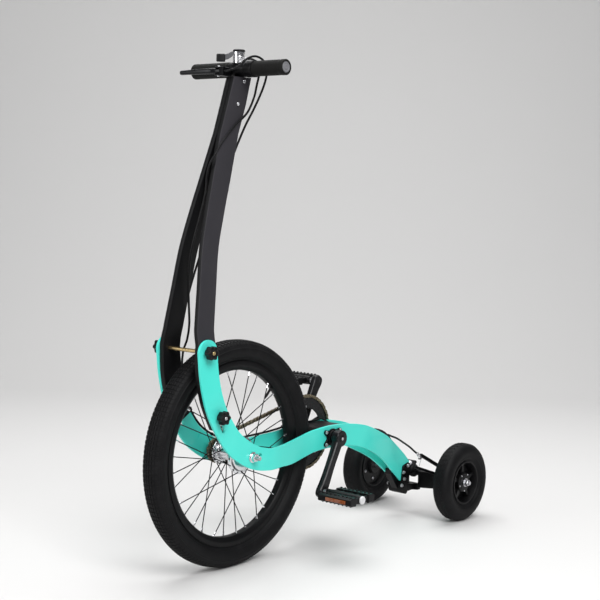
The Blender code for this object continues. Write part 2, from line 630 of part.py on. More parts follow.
def build_rear_wheels():
    y, z = REAR_AXLE
    tyre_half = [(0.0170, 0.0563), (0.0225, 0.0660), (0.0250, 0.0790), (0.0210, 0.0920)]
    ratio = 1.0 / math.cos(math.pi / REAR_FACETS)
    crown = [(0.0110, REAR_TYRE_RADIUS)]
    half = tyre_half + crown
    profile = half + [(-x, r) for x, r in reversed(half)]
    rim = [(0.0190, 0.0510), (0.0190, 0.0560), (-0.0190, 0.0560), (-0.0190, 0.0510),
           (-0.0100, 0.0490), (-0.0100, 0.0220), (-0.0185, 0.0200), (-0.0185, 0.0053),
           (0.0160, 0.0053), (0.0160, 0.0200), (-0.0040, 0.0220), (-0.0040, 0.0480)]
    for side, sign in (("left", 1), ("right", -1)):
        centre = (sign * REAR_WHEEL_X, y, z)
        outward = (sign, 0, 0)
        tyre = turned([(x, r * ratio) for x, r in profile], REAR_FACETS, centre, outward,
                      REAR_FACET_TURN, ring=True)
        add_node(f"{side}_rear_tyre", [tyre], (RUBBER, 0.75, 0.0), centre, 50.0)
        rim_node = add_node(f"{side}_rear_rim",
                            [turned(rim, REAR_FACETS, centre, outward, ring=True)],
                            (PLASTIC, 0.35, 0.0), centre)
        spokes = []
        for number in range(5):
            angle = 2 * math.pi * number / 5 + math.pi / 2
            start = (y + 0.0180 * math.cos(angle), z + 0.0180 * math.sin(angle))
            end = (y + 0.0500 * math.cos(angle), z + 0.0500 * math.sin(angle))
            spoke = prism(bar(start, end, 0.0090), 0.0, 0.0140)
            points, faces = spoke
            spokes.append(([(centre[0] + sign * (x - 0.0050), py, pz) for x, py, pz in points],
                           faces))
        join(rim_node, spokes)


def tyre_section():
    """Half of the front tyre's hollow section: outer points from bead to crown, then inner ones."""
    half = TYRE_WIDTH / 2
    outer, inner = ([(half - inset, BEAD_RADIUS + share * TYRE_HEIGHT) for inset, share in side]
                    for side in (TYRE_OUTER, TYRE_INNER))
    return outer, inner


def build_front_wheel():
    z = TYRE_RADIUS
    centre = (0.0, 0.0, z)
    ratio = 1.0 / math.cos(math.pi / WHEEL_FACETS)
    turn = math.pi / WHEEL_FACETS
    outer, inner = tyre_section()
    loop = outer + [(-x, r) for x, r in reversed(outer)]
    loop += [(-x, r) for x, r in reversed(inner[1:])] + inner
    tyre = turned([(x, r * ratio) for x, r in loop], WHEEL_FACETS, centre, turn=turn, ring=True)
    add_node("front_tyre", [tyre], (RUBBER, 0.75, 0.0), centre, 50.0)

    half = RIM_WIDTH / 2
    wall = half - RIM_WALL
    lip = BEAD_RADIUS + RIM_LIP
    knee = BEAD_RADIUS - RIM_KNEE_DEPTH
    depth = BEAD_RADIUS - RIM_DEPTH
    bed = BEAD_RADIUS - RIM_BED
    rim = [(wall, lip), (half, lip), (half, knee), (0.0080, depth), (-0.0080, depth),
           (-half, knee), (-half, lip), (-wall, lip), (-wall, bed), (wall, bed)]
    rim_solid = turned([(x, r * ratio) for x, r in rim], WHEEL_FACETS, centre, turn=turn,
                       ring=True)
    spokes = []
    nipples = []
    for number in range(SPOKE_COUNT):
        rim_angle = 2 * math.pi * (number + 0.5) / SPOKE_COUNT
        flange_x, flange_radius = (LEFT_FLANGE, RIGHT_FLANGE)[number % 2]
        lean = SPOKE_LEAN * (1 if (number // 2) % 2 else -1)
        hole_angle = rim_angle + lean
        lift = 0.0026 * (1 if (number // 2) % 2 else -1)
        reach = flange_radius - 0.0030
        start = Vector((flange_x + lift / 4, reach * math.cos(hole_angle),
                        z + reach * math.sin(hole_angle)))
        rim_x = math.copysign(0.0030, flange_x)
        foot = depth - NIPPLE_DEPTH
        end = Vector((rim_x, foot * math.cos(rim_angle), z + foot * math.sin(rim_angle)))
        direction = (end - start).normalized()
        nipple_start = end - direction * 0.0090
        spokes.append(rod(start, nipple_start - direction * CLEARANCE, SPOKE_RADIUS, 4))
        nipples.append(rod(nipple_start, end + direction * 0.0065, NIPPLE_RADIUS, 4))
    add_node("front_rim", [rim_solid] + nipples, (BLACK_COAT, 0.4, 0.0), centre)

    lx, lr = LEFT_FLANGE
    rx, rr = RIGHT_FLANGE
    hub = [(lx + 0.0100, 0.0330), (lx + 0.0012, lr), (lx - 0.0012, lr), (lx - 0.0060, 0.0330),
           (0.0060, 0.0170), (rx + 0.0060, 0.0170), (rx + 0.0012, rr), (rx - 0.0012, rr),
           (rx - 0.0040, 0.0160)]
    bore = AXLE_RADIUS + 0.0008
    hub_loop = hub + [(rx - 0.0040, bore), (lx + 0.0100, bore)]
    hub_shell = turned(hub_loop, 18, centre, ring=True)
    add_node("front_hub", [hub_shell] + spokes, (CHROME, 0.22, 1.0), centre)

    cog_centre = (CHAINLINE, 0.0, z)
    teeth = tooth_outline(COG_TEETH, 0.0, z)
    cog = add_node("hub_sprocket", [prism(teeth, CHAINLINE - 0.0010, CHAINLINE + 0.0010)],
                   (CHAIN_STEEL, 0.35, 1.0), cog_centre)
    join(cog, [rod((rx - 0.0043, 0.0, z), (-0.0520, 0.0, z), 0.0155, 16)])
    cut(cog, [rod((-0.03, 0.0, z), (-0.06, 0.0, z), bore, 16)])

    reach = PLATE_INNER_BENDS[0][1]
    axle = [(-0.0930, AXLE_RADIUS), (-0.0590, AXLE_RADIUS), (-0.0590, 0.0100),
            (-0.0525, 0.0100), (-0.0525, AXLE_RADIUS), (0.0405, AXLE_RADIUS),
            (0.0405, 0.0110), (0.0590, 0.0110), (0.0590, AXLE_RADIUS), (0.0890, AXLE_RADIUS)]
    add_node("front_axle", [turned(axle, 16, centre)], (STEEL, 0.3, 1.0))
    outer_face = reach + PLATE_THICKNESS + CLEARANCE
    nut = turned([(outer_face, 0.0053), (outer_face, 0.0120), (outer_face + 0.0018, 0.0120),
                  (outer_face + 0.0018, 0.0086), (outer_face + 0.0130, 0.0084),
                  (outer_face + 0.0130, 0.0053)], 12, centre, ring=True)
    add_node("left_axle_nut", [nut], (CHROME, 0.25, 1.0))
    add_node("right_axle_nut", [mirrored(nut)], (CHROME, 0.25, 1.0))
    box = turned([(-0.0932, 0.0110), (-0.0990, 0.0135), (-0.1090, 0.0135), (-0.1120, 0.0100)],
                 16, centre)
    add_node("gear_selector", [box], (PLASTIC, 0.45, 0.0))


def tooth_outline(teeth, y, z):
    """A sprocket's outline: a flat tip and a valley for each tooth."""
    pitch_radius = CHAIN_PITCH / 2 / math.sin(math.pi / teeth)
    outline = []
    for number in range(teeth):
        middle = 2 * math.pi * number / teeth
        step = 2 * math.pi / teeth
        for share, radius in ((-0.08, pitch_radius + 0.0025), (0.08, pitch_radius + 0.0025),
                              (0.50, pitch_radius - 0.0038)):
            angle = middle + step * share
            outline.append((y + radius * math.cos(angle), z + radius * math.sin(angle)))
    return outline


def chain_path():
    """Points of the chain's pitch line with outward directions, around the cog and the ring."""
    ring = CHAIN_PITCH / 2 / math.sin(math.pi / RING_TEETH)
    cog = CHAIN_PITCH / 2 / math.sin(math.pi / COG_TEETH)
    run = Vector((CRANK_AXIS[0], CRANK_AXIS[1] - TYRE_RADIUS))
    slope = math.atan2(run.y, run.x)
    tilt = math.asin((ring - cog) / run.length)
    path = []
    for i in range(23):
        angle = math.pi / 2 + tilt - i * (math.pi + 2 * tilt) / 22
        path.append((*CRANK_AXIS, ring, angle + slope))
    for i in range(8):
        angle = -math.pi / 2 - tilt - i * (math.pi - 2 * tilt) / 7
        path.append((0.0, TYRE_RADIUS, cog, angle + slope))
    return path


def build_drive():
    y, z = CRANK_AXIS
    half_width = 0.0041
    slot_half = 0.0022
    section = [(half_width, -0.0041), (half_width, 0.0044), (-half_width, 0.0044),
               (-half_width, -0.0041), (-slot_half, -0.0041), (-slot_half, 0.0031),
               (slot_half, 0.0031), (slot_half, -0.0041)]
    rings = []
    for centre_y, centre_z, radius, angle in chain_path():
        rings.append([(CHAINLINE + u, centre_y + (radius + v) * math.cos(angle),
                       centre_z + (radius + v) * math.sin(angle)) for u, v in section])
    add_node("chain", [loft(rings, closed=True)], (CHAIN_STEEL, 0.4, 1.0))

    axis = (0.0, y, z)
    ring_plate = prism(tooth_outline(RING_TEETH, y, z), CHAINLINE - 0.0010, CHAINLINE + 0.0010)
    chainring = add_node("chainring", [ring_plate], (BLACK_COAT, 0.35, 0.3), axis)
    cut(chainring, [rod((-0.04, y, z), (-0.05, y, z), 0.0660, 24)])
    tabs = []
    bolts = []
    for number in range(5):
        angle = 2 * math.pi * number / 5 + SPIDER_TURN
        c = math.cos(angle)
        s = math.sin(angle)
        tip = (y + 0.0700 * c, z + 0.0700 * s)
        inner = (y + 0.0580 * c, z + 0.0580 * s)
        tabs.append(prism(bar(inner, tip, 0.0170), CHAINLINE - 0.0009, CHAINLINE + 0.0009))
        by, bz = y + RING_BOLT_CIRCLE * c, z + RING_BOLT_CIRCLE * s
        bolts.append(turned([(SPIDER_X[0] - 0.0018, 0.0045), (SPIDER_X[0] - 0.0003, 0.0055),
                             (SPIDER_X[0] - 0.0003, 0.0038), (CHAINLINE + 0.0005, 0.0038),
                             (CHAINLINE + 0.0006, 0.0055), (CHAINLINE + 0.0026, 0.0050)], 8,
                            (0.0, by, bz)))
    join(chainring, tabs)
    bolt_holes = []
    for number in range(5):
        angle = 2 * math.pi * number / 5 + SPIDER_TURN
        by = y + RING_BOLT_CIRCLE * math.cos(angle)
        bz = z + RING_BOLT_CIRCLE * math.sin(angle)
        bolt_holes.append(rod((-0.06, by, bz), (-0.04, by, bz), 0.0041, 8))
    join(chainring, bolts)

    spindle = [(-0.0700, 0.0045), (-0.0660, 0.0075), (-0.0555, SPINDLE_RADIUS),
               (0.0555, SPINDLE_RADIUS), (0.0660, 0.0075), (0.0700, 0.0045)]
    add_node("crank_spindle", [turned(spindle, 16, axis)], (STEEL, 0.3, 1.0), axis)

    for side, sign in (("left", 1), ("right", -1)):
        angle = CRANK_ANGLE if sign > 0 else CRANK_ANGLE + math.pi
        direction = Vector((0.0, math.cos(angle + math.pi), math.sin(angle)))
        across = Vector((0.0, -direction.z, direction.y))
        rings = []
        for share, low, high, half in CRANK_STATIONS:
            middle = Vector(axis) + direction * CRANK_LENGTH * share
            ring = []
            for u, w in ((-1, low), (-0.8, high), (0.8, high), (1, low)):
                point = middle + across * half * u
                ring.append((sign * w, point.y, point.z))
            rings.append(ring)
        arm = add_node(f"{side}_crank", [loft(rings)], (BLACK_COAT, 0.3, 0.3), axis)
        head = [(0.0535, CRANK_HEAD_RADIUS - 0.0010), (0.0545, CRANK_HEAD_RADIUS),
                (0.0712, CRANK_HEAD_RADIUS), (0.0724, CRANK_HEAD_RADIUS - 0.0015)]
        join(arm, [turned([(sign * x, r) for x, r in head], 20, axis)])
        pedal = Vector(axis) + direction * CRANK_LENGTH
        if sign < 0:
            spider = [tube((SPIDER_X[0], y, z), (SPIDER_X[1], y, z), 0.0220, 0.0090, 16)]
            for number in range(5):
                spoke_angle = 2 * math.pi * number / 5 + SPIDER_TURN
                c = math.cos(spoke_angle)
                s = math.sin(spoke_angle)
                spider.append(prism(bar((y + 0.0180 * c, z + 0.0180 * s),
                                        (y + 0.0700 * c, z + 0.0700 * s), 0.0150), *SPIDER_X))
            spider.append(tube((-0.0600, y, z), (-0.0520, y, z), 0.0160, 0.0090, 16))
            join(arm, spider)
            cut(arm, bolt_holes)
        socket = rod((sign * 0.0500, y, z), (sign * 0.0705, y, z), SPINDLE_RADIUS + CLEARANCE,
                     16)
        cut(arm, [socket])
        join(arm, [build_pedal(side, sign, pedal)])


def build_pedal(side, sign, pedal):
    """One pedal: its axle, a body of two blocks on a middle tube, reflectors and an end cap."""
    centre = (sign * PEDAL_X[0], pedal.y, pedal.z)
    low, high = PEDAL_X
    axle = [(0.0712, 0.0060), (0.0872, 0.0060), (0.0872, 0.0085), (0.0912, 0.0085),
            (0.0912, 0.0055), (high - 0.0050, 0.0045)]
    points = [(sign * x, r) for x, r in axle]
    axle_solid = turned(points, 12, (0, pedal.y, pedal.z))
    body = [prism([(pedal.y - 0.0115, pedal.z - 0.0095), (pedal.y + 0.0115, pedal.z - 0.0095),
                   (pedal.y + 0.0115, pedal.z + 0.0095), (pedal.y - 0.0115, pedal.z + 0.0095)],
                  sign * (low - 0.0060), sign * high)]
    node = add_node(f"{side}_pedal", body, (PLASTIC, 0.55, 0.0), centre)
    treads = []
    for direction in (-1, 1):
        outline = [(pedal.y + direction * u, pedal.z + v) for u, v in
                   ((0.0230, -0.0100), (0.0450, -0.0080), (0.0450, 0.0080), (0.0230, 0.0100))]
        treads.append(prism(outline, sign * low, sign * (high - 0.0010)))
    for x in (low + 0.0010, (low + high) / 2 - 0.0050, high - 0.0120):
        treads.append(prism([(pedal.y - 0.0300, pedal.z - 0.0070),
                             (pedal.y + 0.0300, pedal.z - 0.0070),
                             (pedal.y + 0.0300, pedal.z + 0.0070),
                             (pedal.y - 0.0300, pedal.z + 0.0070)], sign * x,
                            sign * (x + 0.0100)))
    join(node, treads)
    bore = rod((sign * (low - 0.0100), pedal.y, pedal.z),
               (sign * (high - 0.0040), pedal.y, pedal.z), 0.0062, 12)
    cut(node, [bore])
    middle = sign * ((low + high) / 2 + REFLECTOR_SHIFT)
    face = pedal.y - 0.0454
    half_x, half_z = REFLECTOR_HALF
    reflector = block((middle - half_x, face - 0.0024, pedal.z - half_z),
                      (middle + half_x, face, pedal.z + half_z))
    add_node(f"{side}_pedal_reflector", [reflector], (REFLECTOR, 0.2, 0.0), centre)
    return axle_solid


def post_outer(z):
    zs = [bend[0] for bend in POST_OUTER_BENDS]
    xs = [bend[1] for bend in POST_OUTER_BENDS]
    return float(np.interp(z, zs, xs))


def post_solid():
    """The left post: a plank that leans inward until it meets the other one."""
    edges = list(POST_EDGES)
    edges.insert(4, ((-0.1655, 0.5150), (-0.1150, 0.5150)))
    rings = []
    for front, rear in edges:
        ring = []
        for (y, z), inset in ((front, 0), (rear, 0), (rear, POST_THICKNESS),
                              (front, POST_THICKNESS)):
            ring.append((post_outer(z) - inset, y, z))
        rings.append(ring)
    return loft(rings)


def swing_slot():
    """The arc, open at the post's rear edge, that the clamp bolt runs along as the post folds."""
    arm = Vector((CLAMP_POINT[0] - FOLD_AXIS[0], CLAMP_POINT[1] - FOLD_AXIS[1]))
    start = math.atan2(arm.y, arm.x)
    inner = arm.length - CLAMP_BOLT_RADIUS - 0.0008
    outer = arm.length + CLAMP_BOLT_RADIUS + 0.0008
    angles = [start + math.radians(a) for a in (-1.9, -1.0, 4.0, 9.0, 14.0, 19.0)]
    points = [(outer, a) for a in angles[1:]] + [(inner, a) for a in reversed(angles[1:])]
    points += [(inner + 0.002, angles[0]), (outer - 0.002, angles[0])]
    outline = [(FOLD_AXIS[0] + r * math.cos(a), FOLD_AXIS[1] + r * math.sin(a))
               for r, a in points]
    return prism(outline, 0.04, 0.065)


def build_handlebar():
    post = post_solid()
    left = add_node("left_post", [post], (POST_BLACK, 0.45, 0.0), (0.0, *FOLD_AXIS))
    right = add_node("right_post", [mirrored(post)], (POST_BLACK, 0.45, 0.0),
                     (0.0, *FOLD_AXIS))
    openings = [swing_slot(), rod((0.04, *FOLD_AXIS), (0.07, *FOLD_AXIS),
                                  ROD_RADIUS + CLEARANCE, 12)]
    openings += [rod((-0.005, y, z), (0.02, y, z), 0.0028, 8) for y, z in POST_BOLTS]
    cut(left, openings)
    cut(right, [mirrored(solid) for solid in openings])
    seat = POST_OUTER_BENDS[-1][1] + CLEARANCE
    profile = [(-seat - 0.0035, 0.0040), (-seat, 0.0046), (-seat, 0.0025), (seat, 0.0025),
               (seat, 0.0046), (seat + 0.0035, 0.0040)]
    for name, (y, z) in zip(("upper_post_bolt", "lower_post_bolt"), POST_BOLTS):
        add_node(name, [turned(profile, 10, (0, y, z))], (CHROME, 0.25, 1.0),
                 (0.0, *FOLD_AXIS))

    end = KNOB_X[1] - 0.0005
    add_node("fold_rod", [rod((-end, *FOLD_AXIS), (end, *FOLD_AXIS), ROD_RADIUS, 12)],
             (BRASS, 0.3, 1.0))
    y, z = CLAMP_POINT
    inside = POST_OUTER_BENDS[0][1] - POST_THICKNESS
    bolt = [(inside - 0.0045, 0.0070), (inside - 0.0004, 0.0070),
            (inside - 0.0004, CLAMP_BOLT_RADIUS), (end, CLAMP_BOLT_RADIUS)]
    bolt_solid = turned(bolt, 12, (0, y, z))
    add_node("left_clamp_bolt", [bolt_solid], (STEEL, 0.3, 1.0))
    add_node("right_clamp_bolt", [mirrored(bolt_solid)], (STEEL, 0.3, 1.0))
    for height, (y, z) in (("upper", FOLD_AXIS), ("lower", CLAMP_POINT)):
        knob = knob_solid(y, z)
        add_node(f"{height}_left_knob", [knob], (PLASTIC, 0.4, 0.0), (KNOB_X[0], y, z))
        add_node(f"{height}_right_knob", [mirrored(knob)], (PLASTIC, 0.4, 0.0),
                 (-KNOB_X[0], y, z))

    y, z = BAR_CENTRE
    add_node("handlebar_tube", [rod((-BAR_HALF_WIDTH, y, z), (BAR_HALF_WIDTH, y, z),
                                    BAR_RADIUS, 16)], (BLACK_COAT, 0.35, 0.3))
    bore = BAR_RADIUS + CLEARANCE
    clamp = add_node("stem_clamp", [rod((-0.0125, y, z), (0.0240, y, z), 0.0170, 20)],
                     (BLACK_COAT, 0.45, 0.0))
    cut(clamp, [rod((-0.03, y, z), (0.03, y, z), bore, 16),
                block((-0.0130, -0.05, 1.05), (0.0130, 0.06, POST_EDGES[-1][0][1] + CLEARANCE)),
                block((-0.0160, -0.05, SHIFTER_Z[0] - CLEARANCE), (0.0160, 0.06, 1.15))])
    grip = [(BAR_HALF_WIDTH + CLEARANCE, bore), (GRIP_INNER_X, bore), (GRIP_INNER_X, 0.0150),
            (GRIP_INNER_X + 0.0040, GRIP_RADIUS), (GRIP_END_X - 0.0060, GRIP_RADIUS),
            (GRIP_END_X - 0.0010, 0.0172), (GRIP_END_X, 0.0150)]
    for side, sign in (("left", 1), ("right", -1)):
        solid = turned([(sign * x, r) for x, r in grip], 20, (0, y, z))
        add_node(f"{side}_grip", [solid], (GRIP_BLACK, 0.7, 0.0))


def knob_solid(y, z):
    """A six-lobed hand knob with a through bore, on the plate's outer face."""
    rings = []
    for x, scale in ((KNOB_X[0], 0.62), (KNOB_X[0] + 0.0045, 0.70), (KNOB_X[0] + 0.0060, 1.0),
                     (KNOB_X[1] - 0.0020, 1.0), (KNOB_X[1], 0.80)):
        ring = []
        for i in range(KNOB_FACETS):
            angle = 2 * math.pi * i / KNOB_FACETS
            radius = scale * (KNOB_RADIUS + KNOB_LOBE * math.cos(6 * angle))
            ring.append((x, y + radius * math.cos(angle), z + radius * math.sin(angle)))
        rings.append(ring)
    bore = []
    for x in (KNOB_X[1], KNOB_X[0]):
        bore.append([(x, y + KNOB_BORE * math.cos(2 * math.pi * i / KNOB_FACETS),
                      z + KNOB_BORE * math.sin(2 * math.pi * i / KNOB_FACETS))
                     for i in range(KNOB_FACETS)])
    return loft(rings + bore, closed=True)


def build_controls():
    y, z = BAR_CENTRE
    px, py = LEVER_PIVOT
    bore = BAR_RADIUS + CLEARANCE
    bracket = add_node("brake_lever_bracket",
                       [rod((-0.0245, y, z), (-0.0132, y, z), 0.0165, 20)],
                       (BLACK_COAT, 0.35, 0.3))
    low, high = LEVER_Z
    arm = [(-0.0132, 0.0040), (-0.0245, 0.0040), (-0.0270, py - 0.0060), (-0.0240, py - 0.0095),
           (-0.0140, py - 0.0090), (-0.0050, py - 0.0040), (-0.0050, py + 0.0060),
           (-0.0132, py + 0.0100)]
    join(bracket, [prism(arm, low - 0.0035, high + 0.0035, "Z")])
    room = [(-0.0600, py - 0.0200), (-0.0120, py - 0.0200), (-0.0120, py + 0.0090),
            (-0.0600, py + 0.0090)]
    cut(bracket, [rod((-0.03, y, z), (-0.01, y, z), bore, 16),
                  prism(room, low - CLEARANCE, high + CLEARANCE, "Z"),
                  rod((-0.0080, py + 0.0010, 1.1000), (-0.0040, py + 0.0010, 1.1000), 0.0030, 8),
                  rod((px, py, 1.08), (px, py, 1.12), 0.0026, 8)])

    blade = [(-0.0140, py - 0.0050), (-0.0140, py + 0.0050), (-0.0260, py + 0.0050),
             (-0.0400, -0.0385), (-0.0700, -0.0405), (-0.1240, -0.0400), (-0.1280, -0.0430),
             (-0.1275, -0.0480), (-0.0700, -0.0490), (-0.0380, -0.0475), (-0.0250, py - 0.0070)]
    lever = add_node("brake_lever", [prism(blade, low, high, "Z")], (BLACK_COAT, 0.3, 0.3),
                     (px, py, low))
    join(lever, [rod((px, py, low - 0.0030), (px, py, high + 0.0030), 0.0023, 8)])

    sx, sy = SHIFTER_CENTRE
    bottom, top = SHIFTER_Z
    barrel = [(0.0, 0.0132), (0.0150, 0.0132), (0.0152, 0.0120), (0.0200, 0.0120),
              (0.0200, 0.0060), (0.0255, 0.0060), (0.0255, 0.0132), (0.0275, 0.0137),
              (0.0300, 0.0120), (0.0312, 0.0070)]
    add_node("shifter_body", [turned(barrel, 20, (sx, sy, bottom), (0, 0, 1))],
             (CHROME, 0.2, 1.0), (sx, sy, bottom))
    collar = tube((sx, sy, bottom + 0.0203), (sx, sy, bottom + 0.0252), 0.0130, 0.0063, 20)
    lever = add_node("shift_lever", [collar], (CHROME, 0.3, 1.0), (sx, sy, bottom + 0.0203))
    neck = [(sx - 0.0075, sy - 0.0060), (sx - 0.0020, sy - 0.0100), (-0.0185, -0.0300),
            (-0.0240, -0.0240)]
    tip = [(-0.0170, -0.0290), (-0.0225, -0.0225), (-0.0340, -0.0300), (-0.0370, -0.0360),
           (-0.0330, -0.0400), (-0.0270, -0.0390)]
    join(lever, [prism(neck, bottom + 0.0204, bottom + 0.0251, "Z"),
                 prism(tip, bottom + 0.0080, bottom + 0.0250, "Z")])


def plate_edge_route(first, last):
    """Points that rest on the right plate's upper edge, from first to last behind the axle."""
    stations = smooth_path(PLATE_PATH, 60)
    directions = np.gradient(stations[:, :2], axis=0)
    route = []
    for (y, z, width), direction in zip(stations, directions):
        direction = direction / np.linalg.norm(direction)
        edge = np.array([y, z]) + np.array([-direction[1], direction[0]]) * (
            width / 2 + CABLE_RADIUS + 5 * CLEARANCE)
        if first <= edge[0] <= last:
            route.append((-plate_inner(edge[0]) - PLATE_THICKNESS / 2, edge[0], edge[1]))
    return route[::3]


def add_cable(name, route, count):
    """A cable as a round curve through evenly spread points, with filled ends."""
    curve = bpy.data.curves.new(name, "CURVE")
    curve.dimensions = "3D"
    curve.bevel_depth = CABLE_RADIUS
    curve.bevel_resolution = 2
    curve.use_fill_caps = True
    spline = curve.splines.new("POLY")
    points = smooth_path(route, count)
    spline.points.add(count - 1)
    for target, point in zip(spline.points, points):
        target.co = (*point, 1.0)
    node = bpy.data.objects.new(name, curve)
    node.location = (0.0, FRONT_AXLE_Y, 0.0)
    bpy.context.collection.objects.link(node)
    curve.materials.append(finish(name, PLASTIC, 0.45, 0.0))


def build_cables():
    add_cable("shift_cable", SHIFT_CABLE, 44)
    route = BRAKE_CABLE_TOP + plate_edge_route(-0.100, 0.240) + BRAKE_CABLE_TAIL
    end = adjuster_foot() + Vector(ADJUSTER_DIRECTION) * (ADJUSTER_LENGTH + 0.0016)
    add_cable("brake_cable", route + [tuple(end)], 72)


clear_scene()
build_frame()
build_bracket()
build_truck()
build_brake()
build_rear_wheels()
build_front_wheel()
build_drive()
build_handlebar()
build_controls()
build_cables()
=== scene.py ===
"""Standing bicycle: the visible surfaces, looks, lights and camera, laid out as an add-on.

Every new surface is computed in the row frame: metres, +X the rider's left, -Y the front, +Z up.
Distances along the bicycle are given behind the front axle and shifted by AXLE_Y.
"""

import math

import bpy
import numpy as np
from mathutils import Matrix, Vector


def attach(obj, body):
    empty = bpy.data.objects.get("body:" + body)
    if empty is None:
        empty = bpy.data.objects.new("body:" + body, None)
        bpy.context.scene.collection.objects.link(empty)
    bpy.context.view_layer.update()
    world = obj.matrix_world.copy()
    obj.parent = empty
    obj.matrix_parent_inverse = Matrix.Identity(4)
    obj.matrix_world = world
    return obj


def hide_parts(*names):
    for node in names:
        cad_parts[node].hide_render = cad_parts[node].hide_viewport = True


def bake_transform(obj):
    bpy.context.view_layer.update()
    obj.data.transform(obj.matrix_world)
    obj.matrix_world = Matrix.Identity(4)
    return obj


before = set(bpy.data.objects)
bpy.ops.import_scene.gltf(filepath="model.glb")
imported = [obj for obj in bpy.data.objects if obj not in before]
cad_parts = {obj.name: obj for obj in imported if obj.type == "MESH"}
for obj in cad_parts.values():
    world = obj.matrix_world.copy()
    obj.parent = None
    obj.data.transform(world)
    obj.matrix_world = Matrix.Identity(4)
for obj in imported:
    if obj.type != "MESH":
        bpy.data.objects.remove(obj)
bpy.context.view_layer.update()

bl_info = {
    "name": "Standing bicycle",
    "version": (1, 0, 0),
    "blender": (4, 5, 0),
    "location": "3D View > Sidebar > Bicycle",
    "description": "Builds the visible surfaces of a standing bicycle over its engineering model",
    "category": "Object",
}

AXLE_Y = -0.2785
FRONT_AXLE = (0.0, 0.0, 0.256)
CRANK_AXIS = (0.0, 0.3107, 0.256)
REAR_AXLE = (0.713, 0.1)
CRANK_LENGTH = 0.14
CRANK_ANGLE = math.radians(-54.5)
CHAIN_PITCH = 0.0127
TAB_CENTRE = (0.1, 0.596, 0.1735)
ADJUSTER_WAY = (0.0, -0.7071, 0.7071)
VIEW_WAY = (-0.64154, 0.76215, -0.08689)
CAMERA_ROLL = 0.018608
CHAINLINE = -0.0455
RING_TEETH = 44
COG_TEETH = 12
FOLD_AXIS = (-0.147, 0.501)
CLAMP_POINT = (-0.1075, 0.358)
BAR_CENTRE = (0.011, 1.106)
LEAN_ANGLE = math.radians(40.5)
KINGPIN_POINT = (0.706, 0.11)
PLATE_THICKNESS = 0.006
FLANGE_BOLT_Y = 0.026
FLANGE_BOLT_Z = 0.0145
POST_THICKNESS = 0.012
REAR_WHEEL_X = 0.1457
FRONT_TREAD_PITCHES = 152
REAR_TREAD_PITCHES = 44
BRACKET_HALF_WIDTH = 0.0206
SIDES = (("left", 1), ("right", -1))
FINE = 1.0


# Points and surfaces

def shifted(points):
    """Points measured behind the front axle, moved to the row frame."""
    points = np.array(points, float)
    points[..., 1] += AXLE_Y
    return points


def spline(points, count):
    """Evenly spread points on the smooth curve that runs through the given ones."""
    p = np.array(points, float)
    ends = np.vstack([2 * p[0] - p[1], p, 2 * p[-1] - p[-2]])
    a, b, c, d = ends[:-3, None], ends[1:-2, None], ends[2:-1, None], ends[3:, None]
    t = np.linspace(0, 1, 24, endpoint=False)[None, :, None]
    curve = 0.5 * (2 * b + (c - a) * t + (2 * a - 5 * b + 4 * c - d) * t ** 2
                   + (3 * b - a - 3 * c + d) * t ** 3)
    curve = np.vstack([curve.reshape(-1, p.shape[1]), p[-1:]])
    run = np.concatenate([[0], np.cumsum(np.linalg.norm(np.diff(curve, axis=0), axis=1))])
    wanted = np.linspace(0, run[-1], count)
    return np.stack([np.interp(wanted, run, curve[:, k]) for k in range(p.shape[1])], axis=1)


def skin(grid, wrap_rows=False):
    """Faces over a grid of points (rows, columns, 3); rows that don't wrap get flat ends."""
    rows, columns = grid.shape[:2]
    r = np.arange(rows if wrap_rows else rows - 1)[:, None]
    c = np.arange(columns)[None, :]
    r2, c2 = (r + 1) % rows, (c + 1) % columns
    quads = np.stack([r * columns + c, r2 * columns + c, r2 * columns + c2, r * columns + c2],
                     axis=-1).reshape(-1, 4)
    faces = quads.tolist()
    if not wrap_rows:
        faces.append(list(range(columns)))
        faces.append(list(range(rows * columns - 1, (rows - 1) * columns - 1, -1)))
    return grid.reshape(-1, 3), faces


def volume_sign(points, faces):
    """Positive when the faces look outward: six times the enclosed volume."""
    quads = np.array([f for f in faces if len(f) == 4])
    a, b, c, d = (points[quads[:, i]] for i in range(4))
    total = np.einsum("ij,ij->i", a, np.cross(b, c)) + np.einsum("ij,ij->i", a, np.cross(c, d))
    total = total.sum()
    for face in faces:
        if len(face) != 4:
            corners = points[face]
            fan = np.cross(corners[1:-1], corners[2:])
            total += np.einsum("j,ij->", corners[0], fan)
    return total


def outward(surface):
    """The same surface with its faces turned outward, told by the sign of its volume."""
    points, faces = surface
    centre = points.mean(axis=0)
    if volume_sign(points - centre, faces) < 0:
        faces = [face[::-1] for face in faces]
    return points, faces


def merged(surfaces):
    """Several closed surfaces as one list of points and faces, each facing outward."""
    points, faces, start = [], [], 0
    for surface in surfaces:
        p, f = outward(surface)
        points.append(p)
        faces += [[start + i for i in face] for face in f]
        start += len(p)
    return np.vstack(points), faces


def placed(centre, angle=0.0):
    """The matrix that turns a shape around X by an angle and moves it to a centre."""
    return np.array(Matrix.Translation(Vector(centre)) @ Matrix.Rotation(angle, 4, "X"))


def mm(*points):
    """Points given in millimetres, as an array in metres."""
    return np.array(points, float) / 1000


def around(y, z, radius, angle):
    """The place at a radius and an angle around (y, z) in the side view."""
    return y + radius * np.cos(angle), z + radius * np.sin(angle)


def box_outline(u0, u1, v0, v1):
    """The four corners of a rectangle from u0 to u1 and from v0 to v1."""
    return [(u0, v0), (u1, v0), (u1, v1), (u0, v1)]


def sided(sign, profile):
    """A profile of the left side, or its mirror image on the right."""
    return [(sign * x, radius) for x, radius in profile]


